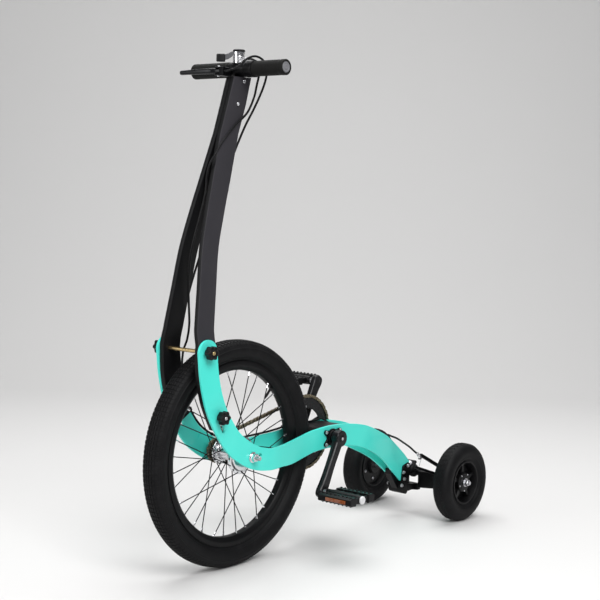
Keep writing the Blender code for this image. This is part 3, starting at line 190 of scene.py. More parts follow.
def copies(surface, matrices):
    """One surface repeated by an array of 4 x 4 matrices."""
    points, faces = outward(surface)
    matrices = np.asarray(matrices)
    flat = np.concatenate([points, np.ones((len(points), 1))], axis=1)
    moved = np.einsum("kij,nj->kni", matrices, flat)[..., :3]
    every = [[k * len(points) + i for i in face] for k in range(len(matrices)) for face in faces]
    return moved.reshape(-1, 3), every


def link_object(name, data):
    """A new object in the scene that holds the given data."""
    made = bpy.data.objects.new(name, data)
    bpy.context.scene.collection.objects.link(made)
    return made


def new_mesh(name, surfaces):
    """One mesh from several closed surfaces."""
    points, faces = merged(surfaces)
    mesh = bpy.data.meshes.new(name)
    mesh.from_pydata(points.tolist(), [], faces)
    mesh.validate()
    return mesh


def free_piece(name, surfaces, finish, node=None, crease=35):
    """A finished object from closed surfaces that rides on no body yet."""
    look, slot = FINISHES[finish]
    mesh = new_mesh(name, surfaces)
    mesh.materials.append(LOOKS[look])
    mesh.shade_smooth()
    mesh.set_sharp_from_angle(angle=math.radians(crease))
    piece = link_object(name, mesh)
    if node:
        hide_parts(node)
    return piece


def as_object(name, surfaces, body, finish, node=None, crease=35):
    """A finished object that rides on a body and may take the place of a node."""
    piece = free_piece(name, surfaces, finish, node, crease)
    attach(piece, body)
    return piece


def carve(piece, surfaces):
    """Cuts closed shapes out of a piece's mesh, so that the cut moves with the piece."""
    tool = link_object("room", new_mesh("room", surfaces))
    change = piece.modifiers.new("cut", "BOOLEAN")
    change.operation = "DIFFERENCE"
    change.solver = "EXACT"
    change.object = tool
    bpy.context.view_layer.update()
    graph = bpy.context.evaluated_depsgraph_get()
    shape = bpy.data.meshes.new_from_object(piece.evaluated_get(graph))
    piece.modifiers.remove(change)
    whole, room = piece.data, tool.data
    piece.data = shape
    bpy.data.objects.remove(tool)
    bpy.data.meshes.remove(whole)
    bpy.data.meshes.remove(room)
    shape.name = piece.name
    shape.set_sharp_from_angle(angle=math.radians(35))


def frame_of(direction):
    """Two unit vectors square to a direction."""
    along = np.array(direction, float)
    along /= np.linalg.norm(along)
    helper = np.array([0, 0, 1.0]) if abs(along[2]) < 0.9 else np.array([0, 1.0, 0])
    side = np.cross(along, helper)
    side /= np.linalg.norm(side)
    return along, side, np.cross(along, side)


def turned(profile, centre, direction=(1, 0, 0), facets=48, ring=False):
    """The surface that a profile (distance along the axis, radius) sweeps around an axis."""
    along, side, up = frame_of(direction)
    profile = np.array(profile, float)
    angles = 2 * np.pi * np.arange(facets) / facets
    circle = np.cos(angles)[:, None] * side + np.sin(angles)[:, None] * up
    grid = (np.array(centre, float) + profile[:, None, :1] * along + profile[:, None, 1:]
            * circle[None])
    return skin(grid, wrap_rows=ring)


def rounded(profile, radius, steps=4):
    """A profile with each inner corner replaced by an arc-like curve of that reach."""
    p = np.array(profile, float)
    out = [p[0]]
    for before, corner, after in zip(p[:-2], p[1:-1], p[2:]):
        a, b = before - corner, after - corner
        reach = min(radius, np.linalg.norm(a) * 0.49, np.linalg.norm(b) * 0.49)
        start = corner + a / np.linalg.norm(a) * reach
        end = corner + b / np.linalg.norm(b) * reach
        t = np.linspace(0, 1, steps + 1)[:, None]
        out += list((1 - t) ** 2 * start + 2 * t * (1 - t) * corner + t ** 2 * end)
    out.append(p[-1])
    return np.array(out)


def rounded_loop(profile, radius, steps=3):
    """A closed profile with every corner rounded."""
    p = np.array(profile, float)
    ext = np.vstack([p[-1:], p, p[:1]])
    return rounded(ext, radius, steps)[1:-1]


def inset_outline(outline, distance):
    """An outline moved inward by a distance, along the mean of each corner's edge normals."""
    p = np.array(outline, float)
    before, after = p - np.roll(p, 1, axis=0), np.roll(p, -1, axis=0) - p
    before /= np.linalg.norm(before, axis=1, keepdims=True) + 1e-12
    after /= np.linalg.norm(after, axis=1, keepdims=True) + 1e-12
    x, y = p[:, 0], p[:, 1]
    area = np.sum(x * np.roll(y, -1) - np.roll(x, -1) * y)
    turn = 1.0 if area > 0 else -1.0
    normal = np.stack([-(before[:, 1] + after[:, 1]), before[:, 0] + after[:, 0]], axis=1)
    normal /= np.linalg.norm(normal, axis=1, keepdims=True) + 1e-12
    square = np.clip(np.einsum("ij,ij->i", normal, np.stack([-after[:, 1], after[:, 0]], axis=1)),
                     0.4, 1)
    return p + turn * normal * (distance / square)[:, None]


def slab(outline, low, high, bevel=0.0006, axis="X"):
    """An outline extruded from low to high with bevelled rims. Its plane is Y-Z, X-Z or X-Y."""
    outline = np.array(outline, float)
    inner = inset_outline(outline, bevel)
    sign = 1 if high > low else -1
    levels = [(low, inner), (low + sign * bevel, outline), (high - sign * bevel, outline),
              (high, inner)]
    rings = []
    for level, shape in levels:
        column = np.full((len(shape), 1), level)
        u, v = shape[:, :1], shape[:, 1:]
        order = {"X": (column, u, v), "Y": (u, column, v), "Z": (u, v, column)}[axis]
        rings.append(np.hstack(order))
    return skin(np.array(rings))


def bar_outline(start, end, width, width_end=None, round_start=0, round_end=0, steps=8):
    """A bar in the side view, its ends square or round."""
    a, b = np.array(start, float), np.array(end, float)
    along = (b - a) / np.linalg.norm(b - a)
    across = np.array([-along[1], along[0]])
    wa, wb = width / 2, (width_end or width) / 2
    out = []
    for centre, half, sign, is_round in ((b, wb, 1, round_end), (a, wa, -1, round_start)):
        if is_round:
            angles = np.linspace(-np.pi / 2, np.pi / 2, steps + 1)
            out += [centre + sign * half * (np.cos(t) * along + np.sin(t) * across)
                    for t in angles]
        else:
            out += [centre - sign * across * half, centre + sign * across * half]
    return np.array(out)


def swept(path, radius, facets):
    """A round tube along a path, its frame carried along without twist."""
    path = np.array(path, float)
    tangent = np.gradient(path, axis=0)
    tangent /= np.linalg.norm(tangent, axis=1, keepdims=True)
    _, side, _ = frame_of(tangent[0])
    sides = [side]
    for t in tangent[1:]:
        side = sides[-1] - t * np.dot(sides[-1], t)
        sides.append(side / np.linalg.norm(side))
    sides = np.array(sides)
    ups = np.cross(tangent, sides)
    angles = 2 * np.pi * np.arange(facets) / facets
    grid = path[:, None] + radius * (np.cos(angles)[None, :, None] * sides[:, None]
                                     + np.sin(angles)[None, :, None] * ups[:, None])
    return skin(grid)


def loft(sections):
    """A closed skin through sections of equally many points."""
    return skin(np.array(sections, float))


def mirrored(surface):
    """A surface's mirror image across the middle plane, its faces still outward."""
    points, faces = surface
    return points * np.array([-1, 1, 1]), [face[::-1] for face in faces]


def bolt(centre, direction, radius, height):
    """A button head with a socket, standing on a face."""
    profile = rounded([(0, radius), (height * 0.75, radius * 0.97), (height, radius * 0.55),
                       (height, radius * 0.52), (height * 0.35, radius * 0.48)], 0.0004, 3)
    return turned(profile, centre, direction, 24)


# Looks: procedural materials written as formulas over sockets

class Signal:
    """A shader socket or a number that can be used in sums, products and comparisons."""

    def __init__(self, look, source):
        self.look = look
        self.source = source

    def _math(self, operation, first, second):
        return self.look.node("ShaderNodeMath", {0: first, 1: second}, operation=operation)

    def __add__(self, other):
        return self._math("ADD", self, other)

    def __radd__(self, other):
        return self._math("ADD", other, self)

    def __sub__(self, other):
        return self._math("SUBTRACT", self, other)

    def __rsub__(self, other):
        return self._math("SUBTRACT", other, self)

    def __mul__(self, other):
        return self._math("MULTIPLY", self, other)

    def __rmul__(self, other):
        return self._math("MULTIPLY", other, self)

    def wave(self):
        """The sine of the signal."""
        return self._math("SINE", self, 0.0)

    def ramp(self, low, high):
        """0 below low and 1 above high, smooth between them."""
        return self.look.node("ShaderNodeMapRange", {0: self, 1: low, 2: high},
                              interpolation_type="SMOOTHSTEP")


class Look:
    """A material under construction, with a Principled shader at its end."""

    def __init__(self, name, colour, roughness, metallic=0.0, inputs=None):
        self.material = bpy.data.materials.new(name)
        self.material.use_nodes = True
        self.tree = self.material.node_tree
        self.shader = self.tree.nodes["Principled BSDF"]
        self.material.diffuse_color = (*colour, 1.0)
        self.place = Signal(self, self.tree.nodes.new("ShaderNodeTexCoord").outputs["Object"])
        self.set("Base Color", (*colour, 1.0))
        self.set("Roughness", roughness)
        self.set("Metallic", metallic)
        for key, value in (inputs or {}).items():
            self.set(key, value)

    def feed(self, socket, value):
        """Links a signal to a socket, or sets the socket to a value."""
        if isinstance(value, Signal):
            self.tree.links.new(value.source, socket)
        else:
            socket.default_value = value

    def set(self, key, value):
        """Feeds one input of the Principled shader."""
        self.feed(self.shader.inputs[key], value)

    def node(self, kind, inputs=None, output=0, **settings):
        """A node of a kind: its settings first, then its sockets' values or links."""
        made = self.tree.nodes.new(kind)
        for key, value in settings.items():
            setattr(made, key, value)
        for key, value in (inputs or {}).items():
            self.feed(made.inputs[key], value)
        return Signal(self, made.outputs[output])

    def noise(self, scale, detail=2.0):
        """Cloudy noise on the object's own coordinates, from 0 to 1."""
        return self.node("ShaderNodeTexNoise", {"Vector": self.place, "Scale": scale,
                                                "Detail": detail})

    def cells(self, scale):
        """The distance to the nearest of many scattered points."""
        return self.node("ShaderNodeTexVoronoi", {"Vector": self.place, "Scale": scale},
                         "Distance")

    def axis(self, which):
        """One coordinate of the place on the object."""
        return self.node("ShaderNodeSeparateXYZ", {0: self.place}, which)

    def blend(self, factor, first, second):
        """From the first colour to the second as the factor goes from 0 to 1."""
        ends = [end if isinstance(end, Signal) else (*end, 1.0) for end in (first, second)]
        return self.node("ShaderNodeMix", {"Factor": factor, 6: ends[0], 7: ends[1]}, 2,
                         data_type="RGBA")

    def bump(self, height, strength, distance):
        """Feeds the shader's normal with a height."""
        self.set("Normal", self.node("ShaderNodeBump", {"Height": height, "Strength": strength,
                                                        "Distance": distance}))


# Grainy looks: name, colour, roughness, metallic, other inputs, then the grain of the roughness
# (base, scale, detail, spread) and of the bump (scale, detail, strength, distance)
GRAINY = [
    ("satin_black_coat", (0.0025, 0.0025, 0.003), 0.42, 0.0, {"Specular IOR Level": 0.16},
     (0.34, 60.0, 2.0, 0.16), (1500.0, 2.0, 0.12, 0.0003)),
    ("black_plastic", (0.003, 0.003, 0.0035), 0.42, 0.0, {"Specular IOR Level": 0.22},
     (0.36, 120.0, 2.0, 0.18), (1300.0, 2.0, 0.12, 0.0002)),
    ("grey_cap_plastic", (0.15, 0.15, 0.16), 0.45, 0.0, {}, None, (1200.0, 2.0, 0.1, 0.0002)),
    ("white_cap_plastic", (0.62, 0.62, 0.63), 0.45, 0.0, {}, None, (1200.0, 2.0, 0.1, 0.0002)),
    ("bright_chrome", (0.72, 0.72, 0.74), 0.12, 1.0, {}, (0.07, 45.0, 3.0, 0.1), None),
    ("plated_steel", (0.52, 0.52, 0.54), 0.3, 1.0, {}, (0.24, 150.0, 3.0, 0.16),
     (800.0, 2.0, 0.08, 0.0002)),
    ("black_anodised", (0.005, 0.005, 0.006), 0.3, 0.2, {"Specular IOR Level": 0.32},
     (0.22, 70.0, 2.0, 0.14), None),
    ("bare_brass", (0.6, 0.45, 0.22), 0.3, 1.0, {}, (0.22, 160.0, 2.0, 0.2), None),
    ("mint_gloss_paint", (0.068, 0.7, 0.6), 0.34, 0.0,
     {"Coat Weight": 0.1, "Coat Roughness": 0.2, "Specular IOR Level": 0.3},
     (0.24, 9.0, 3.0, 0.1), (900.0, 2.0, 0.05, 0.0002)),
    ("post_black_coat", (0.03, 0.029, 0.033), 0.5, 0.0, {"Specular IOR Level": 0.2},
     (0.42, 14.0, 4.0, 0.14), (1100.0, 2.0, 0.15, 0.0003)),
    ("tyre_black_rubber", (0.006, 0.006, 0.007), 0.6, 0.0, {"Specular IOR Level": 0.15},
     (0.48, 35.0, 5.0, 0.2), (700.0, 3.0, 0.25, 0.0004)),
    ("oiled_chain_steel", (0.2, 0.165, 0.115), 0.38, 0.9, {}, (0.28, 400.0, 4.0, 0.3), None),
    ("soft_grip_rubber", (0.0055, 0.0055, 0.005), 0.6, 0.0, {"Specular IOR Level": 0.18},
     (0.62, 80.0, 2.0, 0.2), None),
    ("polished_alloy", (0.7, 0.71, 0.73), 0.2, 1.0, {}, (0.16, 90.0, 2.0, 0.12), None),
    ("amber_reflector", (0.8, 0.17, 0.012), 0.12, 0.0, {"Coat Weight": 1.0}, None, None),
]
# Two-tone looks: the grain's low and high end, then the part whose chosen tones it mixes
TWO_TONE = {
    "mint_gloss_paint": (0.3, 0.8, "paint"),
    "tyre_black_rubber": (0.45, 0.75, "rubber"),
    "oiled_chain_steel": (0.35, 0.7, "chain"),
}


def chosen_size(name):
    """A size from the settings, rounded because Blender keeps it in single precision."""
    return round(getattr(bpy.context.scene.bicycle, name), 6)


def chosen_tones(part):
    """A part's two colours from the settings."""
    settings = bpy.context.scene.bicycle
    return [tuple(getattr(settings, f"{part}_{which}")) for which in ("first", "second")]


def paint_post_shade(look, grain):
    """The outer face keeps the posts' lighter tones; the edges and the inner face, told by their
    depth, get near-black painted shade.
    """
    height = look.axis(2)
    lean = look.node("ShaderNodeMapRange", {0: height, 1: 0.545, 2: 0.965, 3: 0.0527, 4: 0.0124})
    foot = look.node("ShaderNodeMapRange", {0: height, 1: 0.515, 2: 0.545, 3: 0.0065, 4: 0.0})
    depth = lean + foot - look.node("ShaderNodeMath", {0: look.axis(0)}, operation="ABSOLUTE")
    face = look.blend(grain, *chosen_tones("post"))
    # painted shade: near-black over the inner face and the edges, mixed in by depth
    look.set("Base Color", look.blend(depth.ramp(0.0008, 0.003), face, (0.0025, 0.0025, 0.003)))


def make_look(name, colour, roughness, metallic, inputs, wear, relief):
    """A look from its row: one noise varies the roughness, another the height."""
    look = Look(name, colour, roughness, metallic, inputs)
    if wear:
        base, scale, detail, spread = wear
        grain = look.noise(scale, detail)
        look.set("Roughness", base + grain * spread)
        if name in TWO_TONE:
            low, high, part = TWO_TONE[name]
            look.set("Base Color", look.blend(grain.ramp(low, high), *chosen_tones(part)))
        elif name == "post_black_coat":
            paint_post_shade(look, grain)
    if relief:
        scale, detail, strength, distance = relief
        look.bump(look.noise(scale, detail), strength, distance)
    elif name == "soft_grip_rubber":
        look.bump(look.cells(900.0), 0.25, 0.0003)
    elif name == "polished_alloy":
        look.bump((look.axis(0) * 9000.0).wave(), 0.03, 0.0001)
    elif name == "amber_reflector":
        prism = look.cells(520.0)
        look.set("Base Color", look.blend(prism, *chosen_tones("reflector")))
        look.bump(prism, 0.5, 0.0006)
    return look.material


# The look and the material slot of every finish
FINISHES = {
    "mint": ("mint_gloss_paint", "mint_paint"),
    "coat": ("satin_black_coat", "black_paint"),
    "coated_metal": ("satin_black_coat", "black_metal"),
    "post": ("post_black_coat", "post_black"),
    "steel": ("plated_steel", "steel"),
    "chrome": ("bright_chrome", "chrome"),
    "plastic": ("black_plastic", "black_plastic"),
    "grey_plastic": ("grey_cap_plastic", "black_plastic"),
    "white_plastic": ("white_cap_plastic", "black_plastic"),
    "tyre": ("tyre_black_rubber", "tyre_rubber"),
    "bushing": ("tyre_black_rubber", "bushing_rubber"),
    "grip": ("soft_grip_rubber", "grip_rubber"),
    "alloy": ("polished_alloy", "hub_alloy"),
    "black_metal": ("black_anodised", "black_metal"),
    "chain": ("oiled_chain_steel", "chain_steel"),
    "brass": ("bare_brass", "brass"),
    "amber": ("amber_reflector", "reflector_orange"),
}
LOOKS = {}


# Side plates, bracket and bottom bracket

PLATE_BENDS = mm((80, 59.5), (215, 34), (455, 34), (590, 10.3))
PLATE_PATH = mm((-143.5, 499.5, 56), (-137.5, 448, 55.5), (-124, 396, 55.5), (-103, 352, 55),
                (-67, 303, 55), (-32, 275, 54.5), (11, 253, 53), (60, 242, 49.5), (105, 242, 49.5),
                (150, 242.8, 54), (200, 247.8, 53.5), (250, 255, 52), (312, 257.5, 53.5),
                (380, 252.5, 53.5), (440, 240.5, 55), (498.5, 218.2, 57.5), (560.5, 188.5, 61.2),
                (617, 146.5, 62), (650, 117, 60))


def plate_inner(y):
    """Inner face of a plate: straight runs between the bends, averaged over 50 mm."""
    spots = np.asarray(y, float)[..., None] + np.linspace(-0.025, 0.025, 21)
    return np.interp(spots, [b[0] for b in PLATE_BENDS], [b[1] for b in PLATE_BENDS]).mean(-1)


def plate_stations(count):
    """Stations (y, z, width) of a plate: the rounded top end, then the path down to the tip."""
    stations = spline(PLATE_PATH, count)
    along = stations[0, :2] - stations[1, :2]
    along /= np.linalg.norm(along)
    radius = stations[0, 2] / 2
    angles = np.radians(np.linspace(86, 4, 22))
    centres = stations[0, :2] + np.sin(angles)[:, None] * along * radius
    top = np.hstack([centres, 2 * radius * np.cos(angles)[:, None]])
    return np.vstack([top, stations])


def plate_surface():
    """A bent flat bar: at each station an eight-point section with eased edges."""
    stations = plate_stations(int(260 * FINE))
    direction = np.gradient(stations[:, :2], axis=0)
    direction /= np.linalg.norm(direction, axis=1, keepdims=True)
    across = np.stack([-direction[:, 1], direction[:, 0]], axis=1)
    ease = 0.0007
    rings = []
    full = PLATE_THICKNESS
    for sign, depth, pull in ((1, ease, 0), (1, full - ease, 0), (1, full, ease),
                              (-1, full, ease), (-1, full - ease, 0), (-1, ease, 0),
                              (-1, 0, ease), (1, 0, ease)):
        half = np.maximum(stations[:, 2:] / 2 - pull, 0.0003)
        edge = stations[:, :2] + across * half * sign
        rings.append(np.column_stack([plate_inner(edge[:, 0]) + depth, edge]))
    grid = np.stack(rings, axis=1)
    return skin(shifted(grid))


def stadium(start, end, radius, steps=10):
    """A bar's outline with both ends round."""
    return bar_outline(start, end, 2 * radius, None, 1, 1, steps)


def side_slab(outline, low, high, bevel=0.0006):
    """A side-view outline measured behind the front axle, extruded along X."""
    outline = np.array(outline, float) + np.array([AXLE_Y, 0.0])
    return slab(outline, low, high, bevel, "X")


def at(x, behind, z):
    """The point at a place across, a distance behind the front axle and a height."""
    return np.array([x, behind + AXLE_Y, z])


def disc_x(x0, x1, y, z, radius, facets=40, ease=0.0005):
    """A short cylinder along X with eased rims."""
    sign = 1 if x1 > x0 else -1
    profile = [(x0, radius - ease), (x0 + sign * ease, radius), (x1 - sign * ease, radius),
               (x1, radius - ease)]
    return turned(profile, at(0, y, z), facets=facets)


def washer_x(x0, x1, y, z, outer, inner, facets=40, ease=0.0004):
    """A ring along X: a rectangle with eased outer corners, turned around the X axis."""
    profile = [(x0, inner), (x0, outer - ease), ((x0 * 0.8 + x1 * 0.2), outer),
               ((x0 * 0.2 + x1 * 0.8), outer), (x1, outer - ease), (x1, inner)]
    return turned(profile, at(0, y, z), facets=facets, ring=True)


def make_plates():
    """Both side plates, one the other's mirror image, with their slots and holes cut."""
    plate = plate_surface()
    for side, sign in SIDES:
        surface = plate if sign > 0 else mirrored(plate)
        piece = as_object(f"{side}_plate_skin", [surface], "frame", "mint", f"{side}_frame_plate",
                          crease=30)
        a, b = sign * 0.045, sign * 0.08
        holes = [side_slab(stadium((0, 0.256), (0.026, 0.256), 0.0053), a, b),
                 side_slab(stadium(CLAMP_POINT, (-0.0945, 0.326), 0.0043), a, b),
                 disc_x(a, b, *FOLD_AXIS, 0.0046, 24)]
        carve(piece, holes)


def flange_outline():
    """A round flange with an ear around each of its four bolts."""
    y, z = CRANK_AXIS[1:]
    first = math.atan2(FLANGE_BOLT_Z, FLANGE_BOLT_Y)
    reach = math.hypot(FLANGE_BOLT_Z, FLANGE_BOLT_Y)
    outline = []
    for ear, low, high in ((first, 55, 125), (math.pi - first, 174, 186),
                           (math.pi + first, 235, 305), (-first, -6, 6)):
        angles = ear + np.radians(np.linspace(-90, 90, 9))
        outline += zip(*around(*around(y, z, reach, ear), 0.0055, angles))
        angles = np.radians(np.linspace(low, high, 9))
        outline += zip(*around(y, z, 0.021, angles))
    return np.array(outline)


def make_bottom_bracket():
    """The turned shell, the flanges with their bolts, and the extruded cover."""
    y, z = CRANK_AXIS[1:]
    shell = rounded(mm((-33.7, 10), (-33.7, 20.5), (33.7, 20.5), (33.7, 10)), 0.001)
    as_object("bracket_shell_skin", [turned(shell, at(0, y, z), facets=64)], "frame", "coat",
              "bottom_bracket_shell")
    for side, sign in SIDES:
        plate = side_slab(flange_outline(), sign * 0.0403, sign * 0.045, 0.0008)
        boss = rounded(mm((44.5, 12.5), (44.5, 18.5), (48, 17.5), (48, 12.5)), 0.0006)
        boss = turned(sided(sign, boss), at(0, y, z), facets=48, ring=True)
        as_object(f"{side}_flange_skin", [plate, boss], "frame", "coat", f"{side}_bracket_flange")
        bolts = []
        for a in (-1, 1):
            for b in (-1, 1):
                spot = (y + a * FLANGE_BOLT_Y, z + b * FLANGE_BOLT_Z)
                bolts.append(bolt(at(sign * 0.0452, *spot), (sign, 0, 0), 0.0042, 0.003))
                bolts.append(turned(mm((0, 4.2), (3.5, 4)), at(sign * 0.0337, *spot),
                                    (-sign, 0, 0), 6))
        as_object(f"{side}_flange_bolts", bolts, "frame", "steel")
    cover = rounded(mm((265.5, 275.2), (267.5, 273.3), (274.5, 279), (355, 278.5), (368.5, 269.8),
                       (370, 271.5), (356, 281.2), (273, 281.7), (265.5, 275.2)), 0.002)[1:-1]
    as_object("bridge_cover_skin", [side_slab(cover, -0.0337, 0.0337, 0.0003)], "frame", "plastic",
              "bridge_cover")


# Front wheel

TYRE_SIDE = mm((12.7, 203), (12.8, 209), (17, 212.8), (22.8, 220.5), (25.7, 229), (26, 237),
               (23.5, 244), (19.5, 249.2), (12, 252.7), (0, 254.1))


def half_profile(half):
    """A symmetric profile: a smooth half and its mirror image."""
    half = spline(half, 30)
    return np.vstack([half, half[-2::-1] * np.array([-1, 1])])


def tread_block(xs, angles, levels, radius_at):
    """A raised block on a tyre: at each level a radius and the share of its size that is left."""
    rings = []
    for level, keep in levels:
        x = xs.mean() + (xs - xs.mean()) * keep
        angle = angles.mean() + (angles - angles.mean()) * keep
        y, z = around(0, 0, radius_at(np.abs(x)) + level, angle)
        rings.append(np.stack([x, y, z], axis=1))
    return loft(rings)


def front_crown(x):
    """The front tyre's radius at a distance from its middle."""
    crown = TYRE_SIDE[:-5:-1]
    return np.interp(x, crown[:, 0], crown[:, 1])


def make_front_tyre():
    """A turned hollow loop with fine ribs, and seven columns of tread blocks."""
    centre = at(*FRONT_AXLE)
    outer = half_profile(TYRE_SIDE)
    inner = mm((10.5, 203), (10.5, 210), (20, 223), (22.5, 233), (16, 246), (0, 250))
    inner = half_profile(inner)
    loop = np.vstack([outer, inner[::-1]])
    carcass = turned(loop, centre, facets=int(192 * FINE), ring=True)
    ribs = []
    for radius, x in ((0.2165, 0.0203), (0.2385, 0.02585)):
        for side in (-1, 1):
            rib = [(side * x - 0.0006, radius - 0.0012), (side * x + side * 0.0005, radius),
                   (side * x - 0.0006, radius + 0.0012)]
            ribs.append(turned(rib, centre, facets=int(144 * FINE), ring=True))
    as_object("front_tyre_skin", [carcass] + ribs, "front_wheel", "tyre", "front_tyre", crease=40)
    step = 2 * math.pi / FRONT_TREAD_PITCHES
    turn = [placed(centre, step * i) for i in range(FRONT_TREAD_PITCHES)]
    height, half = chosen_size("tread_height"), 0.0028
    levels = ((-0.001, 1.0), (height - 0.0004, 0.93), (height, 0.82))
    angles = np.array([0.1, 0.1, 0.88, 0.88]) * step
    blocks = []
    for x in (0.0, 0.007, -0.007, 0.014, -0.014, 0.0206, -0.0206):
        xs = np.array([x - half, x + half, x + half, x - half])
        blocks.append(copies(tread_block(xs, angles, levels, front_crown), turn))
    as_object("front_tyre_tread", blocks, "front_wheel", "tyre", crease=30)


def make_front_rim():
    """A turned rim section, and the valve's stepped stem along a radius."""
    centre = at(*FRONT_AXLE)
    profile = mm((13.2, 208.5), (15, 208.7), (15, 197.5), (8.5, 187.8), (0, 186.8), (-8.5, 187.8),
                 (-15, 197.5), (-15, 208.7), (-13.2, 208.5), (-13, 202.2), (0, 200), (13, 202.2))
    rim = turned(rounded_loop(profile, 0.0022), centre, facets=int(180 * FINE), ring=True)
    as_object("front_rim_skin", [rim], "front_wheel", "coated_metal", "front_rim", crease=30)
    angle = math.radians(45)
    radial = np.array([0, math.cos(angle), math.sin(angle)])
    profile = mm((0, 3.6), (-6, 3.4), (-6.5, 3), (-25, 3), (-25.5, 2.6), (-30, 2.4), (-31, 1.6))
    stem = turned(profile, centre + radial * 0.1885, radial, 20)
    as_object("tyre_valve", [stem], "front_wheel", "plastic", crease=40)


def spoke_lines():
    """Starts at the hub and ends at the rim of all 32 spokes, crossing in threes."""
    n = np.arange(32)
    rim_angle = 2 * np.pi * (n + 0.5) / 32
    flange_x = np.where(n % 2 == 0, 0.03, -0.03)
    flange_radius = np.where(n % 2 == 0, 0.0425, 0.029) - 0.003
    way = np.where((n // 2) % 2 == 1, 1.0, -1.0)
    hole = rim_angle + np.radians(46) * way
    start = np.stack([flange_x + 0.0021 * way, flange_radius * np.cos(hole),
                      flange_radius * np.sin(hole)], axis=1)
    rim_x = np.where(n % 2 == 0, 0.003, -0.003)
    end = np.stack([rim_x, 0.185 * np.cos(rim_angle), 0.185 * np.sin(rim_angle)], axis=1)
    hub = at(*FRONT_AXLE)
    return start + hub, end + hub, flange_x, way


def make_spokes():
    """Tubes along the spoke lines, each with a turned head and a turned nipple."""
    spokes, nipples = [], []
    radius = chosen_size("spoke_diameter") / 2
    for start, end, x, side in zip(*spoke_lines()):
        along = (end - start) / np.linalg.norm(end - start)
        inside = start.copy()
        inside[0] = x - 0.0021 * side
        path = np.vstack([inside, start - along * 0.0004, start + along * 0.002,
                          end - along * 0.002])
        spokes.append(swept(path, radius, 8))
        back = inside + np.array([-0.0012 * side, 0, 0])
        spokes.append(turned(mm((0, 1.7), (1, 2), (1.6, 1)), back, (side, 0, 0), 10))
        nipples.append(turned(mm((0, 1.3), (0.4, 1.9), (7.5, 2), (9, 2.6), (11, 2.6)),
                              end - along * 0.0085, along, 8))
    as_object("front_spokes_skin", spokes, "front_wheel", "coated_metal", crease=40)
    as_object("spoke_nipples_skin", nipples, "front_wheel", "chrome", crease=40)


def make_front_hub():
    """Hub shell, axle, nuts and gear box: profiles turned around the axle's line."""
    centre = at(*FRONT_AXLE)
    profile = mm((40, 6), (40, 33), (38.5, 34.5), (32, 36.5), (31.5, 42.5), (28.5, 42.5),
                 (28, 37.5), (22.5, 33.5), (16, 25), (6, 16.8), (-23.5, 16), (-27.5, 18),
                 (-28.5, 29), (-31.5, 29), (-32, 18.5), (-34, 16), (-34, 6))
    hub = turned(rounded_loop(profile, 0.0016), centre, facets=96, ring=True)
    as_object("front_hub_skin", [hub], "front_wheel", "alloy", "front_hub")
    axle = mm((-93, 5), (-59, 5), (-59, 9.8), (-52.5, 10), (-52.5, 5), (40.5, 5), (40.5, 11.8),
              (44, 11.8), (44.5, 10), (59, 10), (59, 5), (87.5, 5), (89, 4))
    as_object("front_axle_skin", [turned(axle, centre, facets=32)], "frame", "steel", "front_axle")
    disc = rounded(mm((65.8, 5.2), (65.8, 12), (67.5, 12), (67.8, 5.2)), 0.0004)
    nut = rounded(mm((67.7, 5.3), (67.7, 9.2), (70, 9.8), (76.5, 9.8), (78, 8.8), (78, 5.3)),
                  0.0003)
    dome = rounded(mm((77.5, 5.3), (77.5, 8), (78.8, 7.6), (78.8, 5.3)), 0.0003)
    for side, sign in SIDES:
        parts = [turned(sided(sign, profile), centre, facets=facets, ring=True)
                 for profile, facets in ((disc, 48), (nut, 6), (dome, 32))]
        as_object(f"{side}_axle_nut_skin", parts, "frame", "chrome", f"{side}_axle_nut", crease=30)
    box = rounded(mm((-93.2, 10), (-94.5, 12.8), (-108, 12.8), (-112, 9)), 0.002)
    as_object("gear_selector_skin", [turned(box, centre, facets=40)], "frame", "plastic",
              "gear_selector")


# Rear truck and wheels

def along_lean(distance, offset=0.0):
    """A point along the lean axis from the kingpin, offset toward the kingpin's foot."""
    c, s = math.cos(LEAN_ANGLE), math.sin(LEAN_ANGLE)
    return at(0, KINGPIN_POINT[0] + c * distance + s * offset,
              KINGPIN_POINT[1] + s * distance - c * offset)


KINGPIN_WAY = (0.0, math.sin(LEAN_ANGLE), -math.cos(LEAN_ANGLE))
LEAN_WAY = along_lean(1) - along_lean(0)


def kingpin_turned(profile, facets=32, ring=False):
    """A profile turned around the kingpin's line."""
    return turned(profile, along_lean(0), KINGPIN_WAY, facets, ring)


def lean_slab(corners, half_width, bevel=0.0006):
    """An outline given along and across the lean axis, extruded along X."""
    outline = [along_lean(a, b)[1:] for a, b in corners]
    return slab(outline, -half_width, half_width, bevel, "X")


def beam_slab(outline, half_depth, bevel=0.0006):
    """An outline of the front view, extruded along Y at the rear axle."""
    y = REAR_AXLE[0] + AXLE_Y
    return slab(outline, y - half_depth, y + half_depth, bevel, "Y")


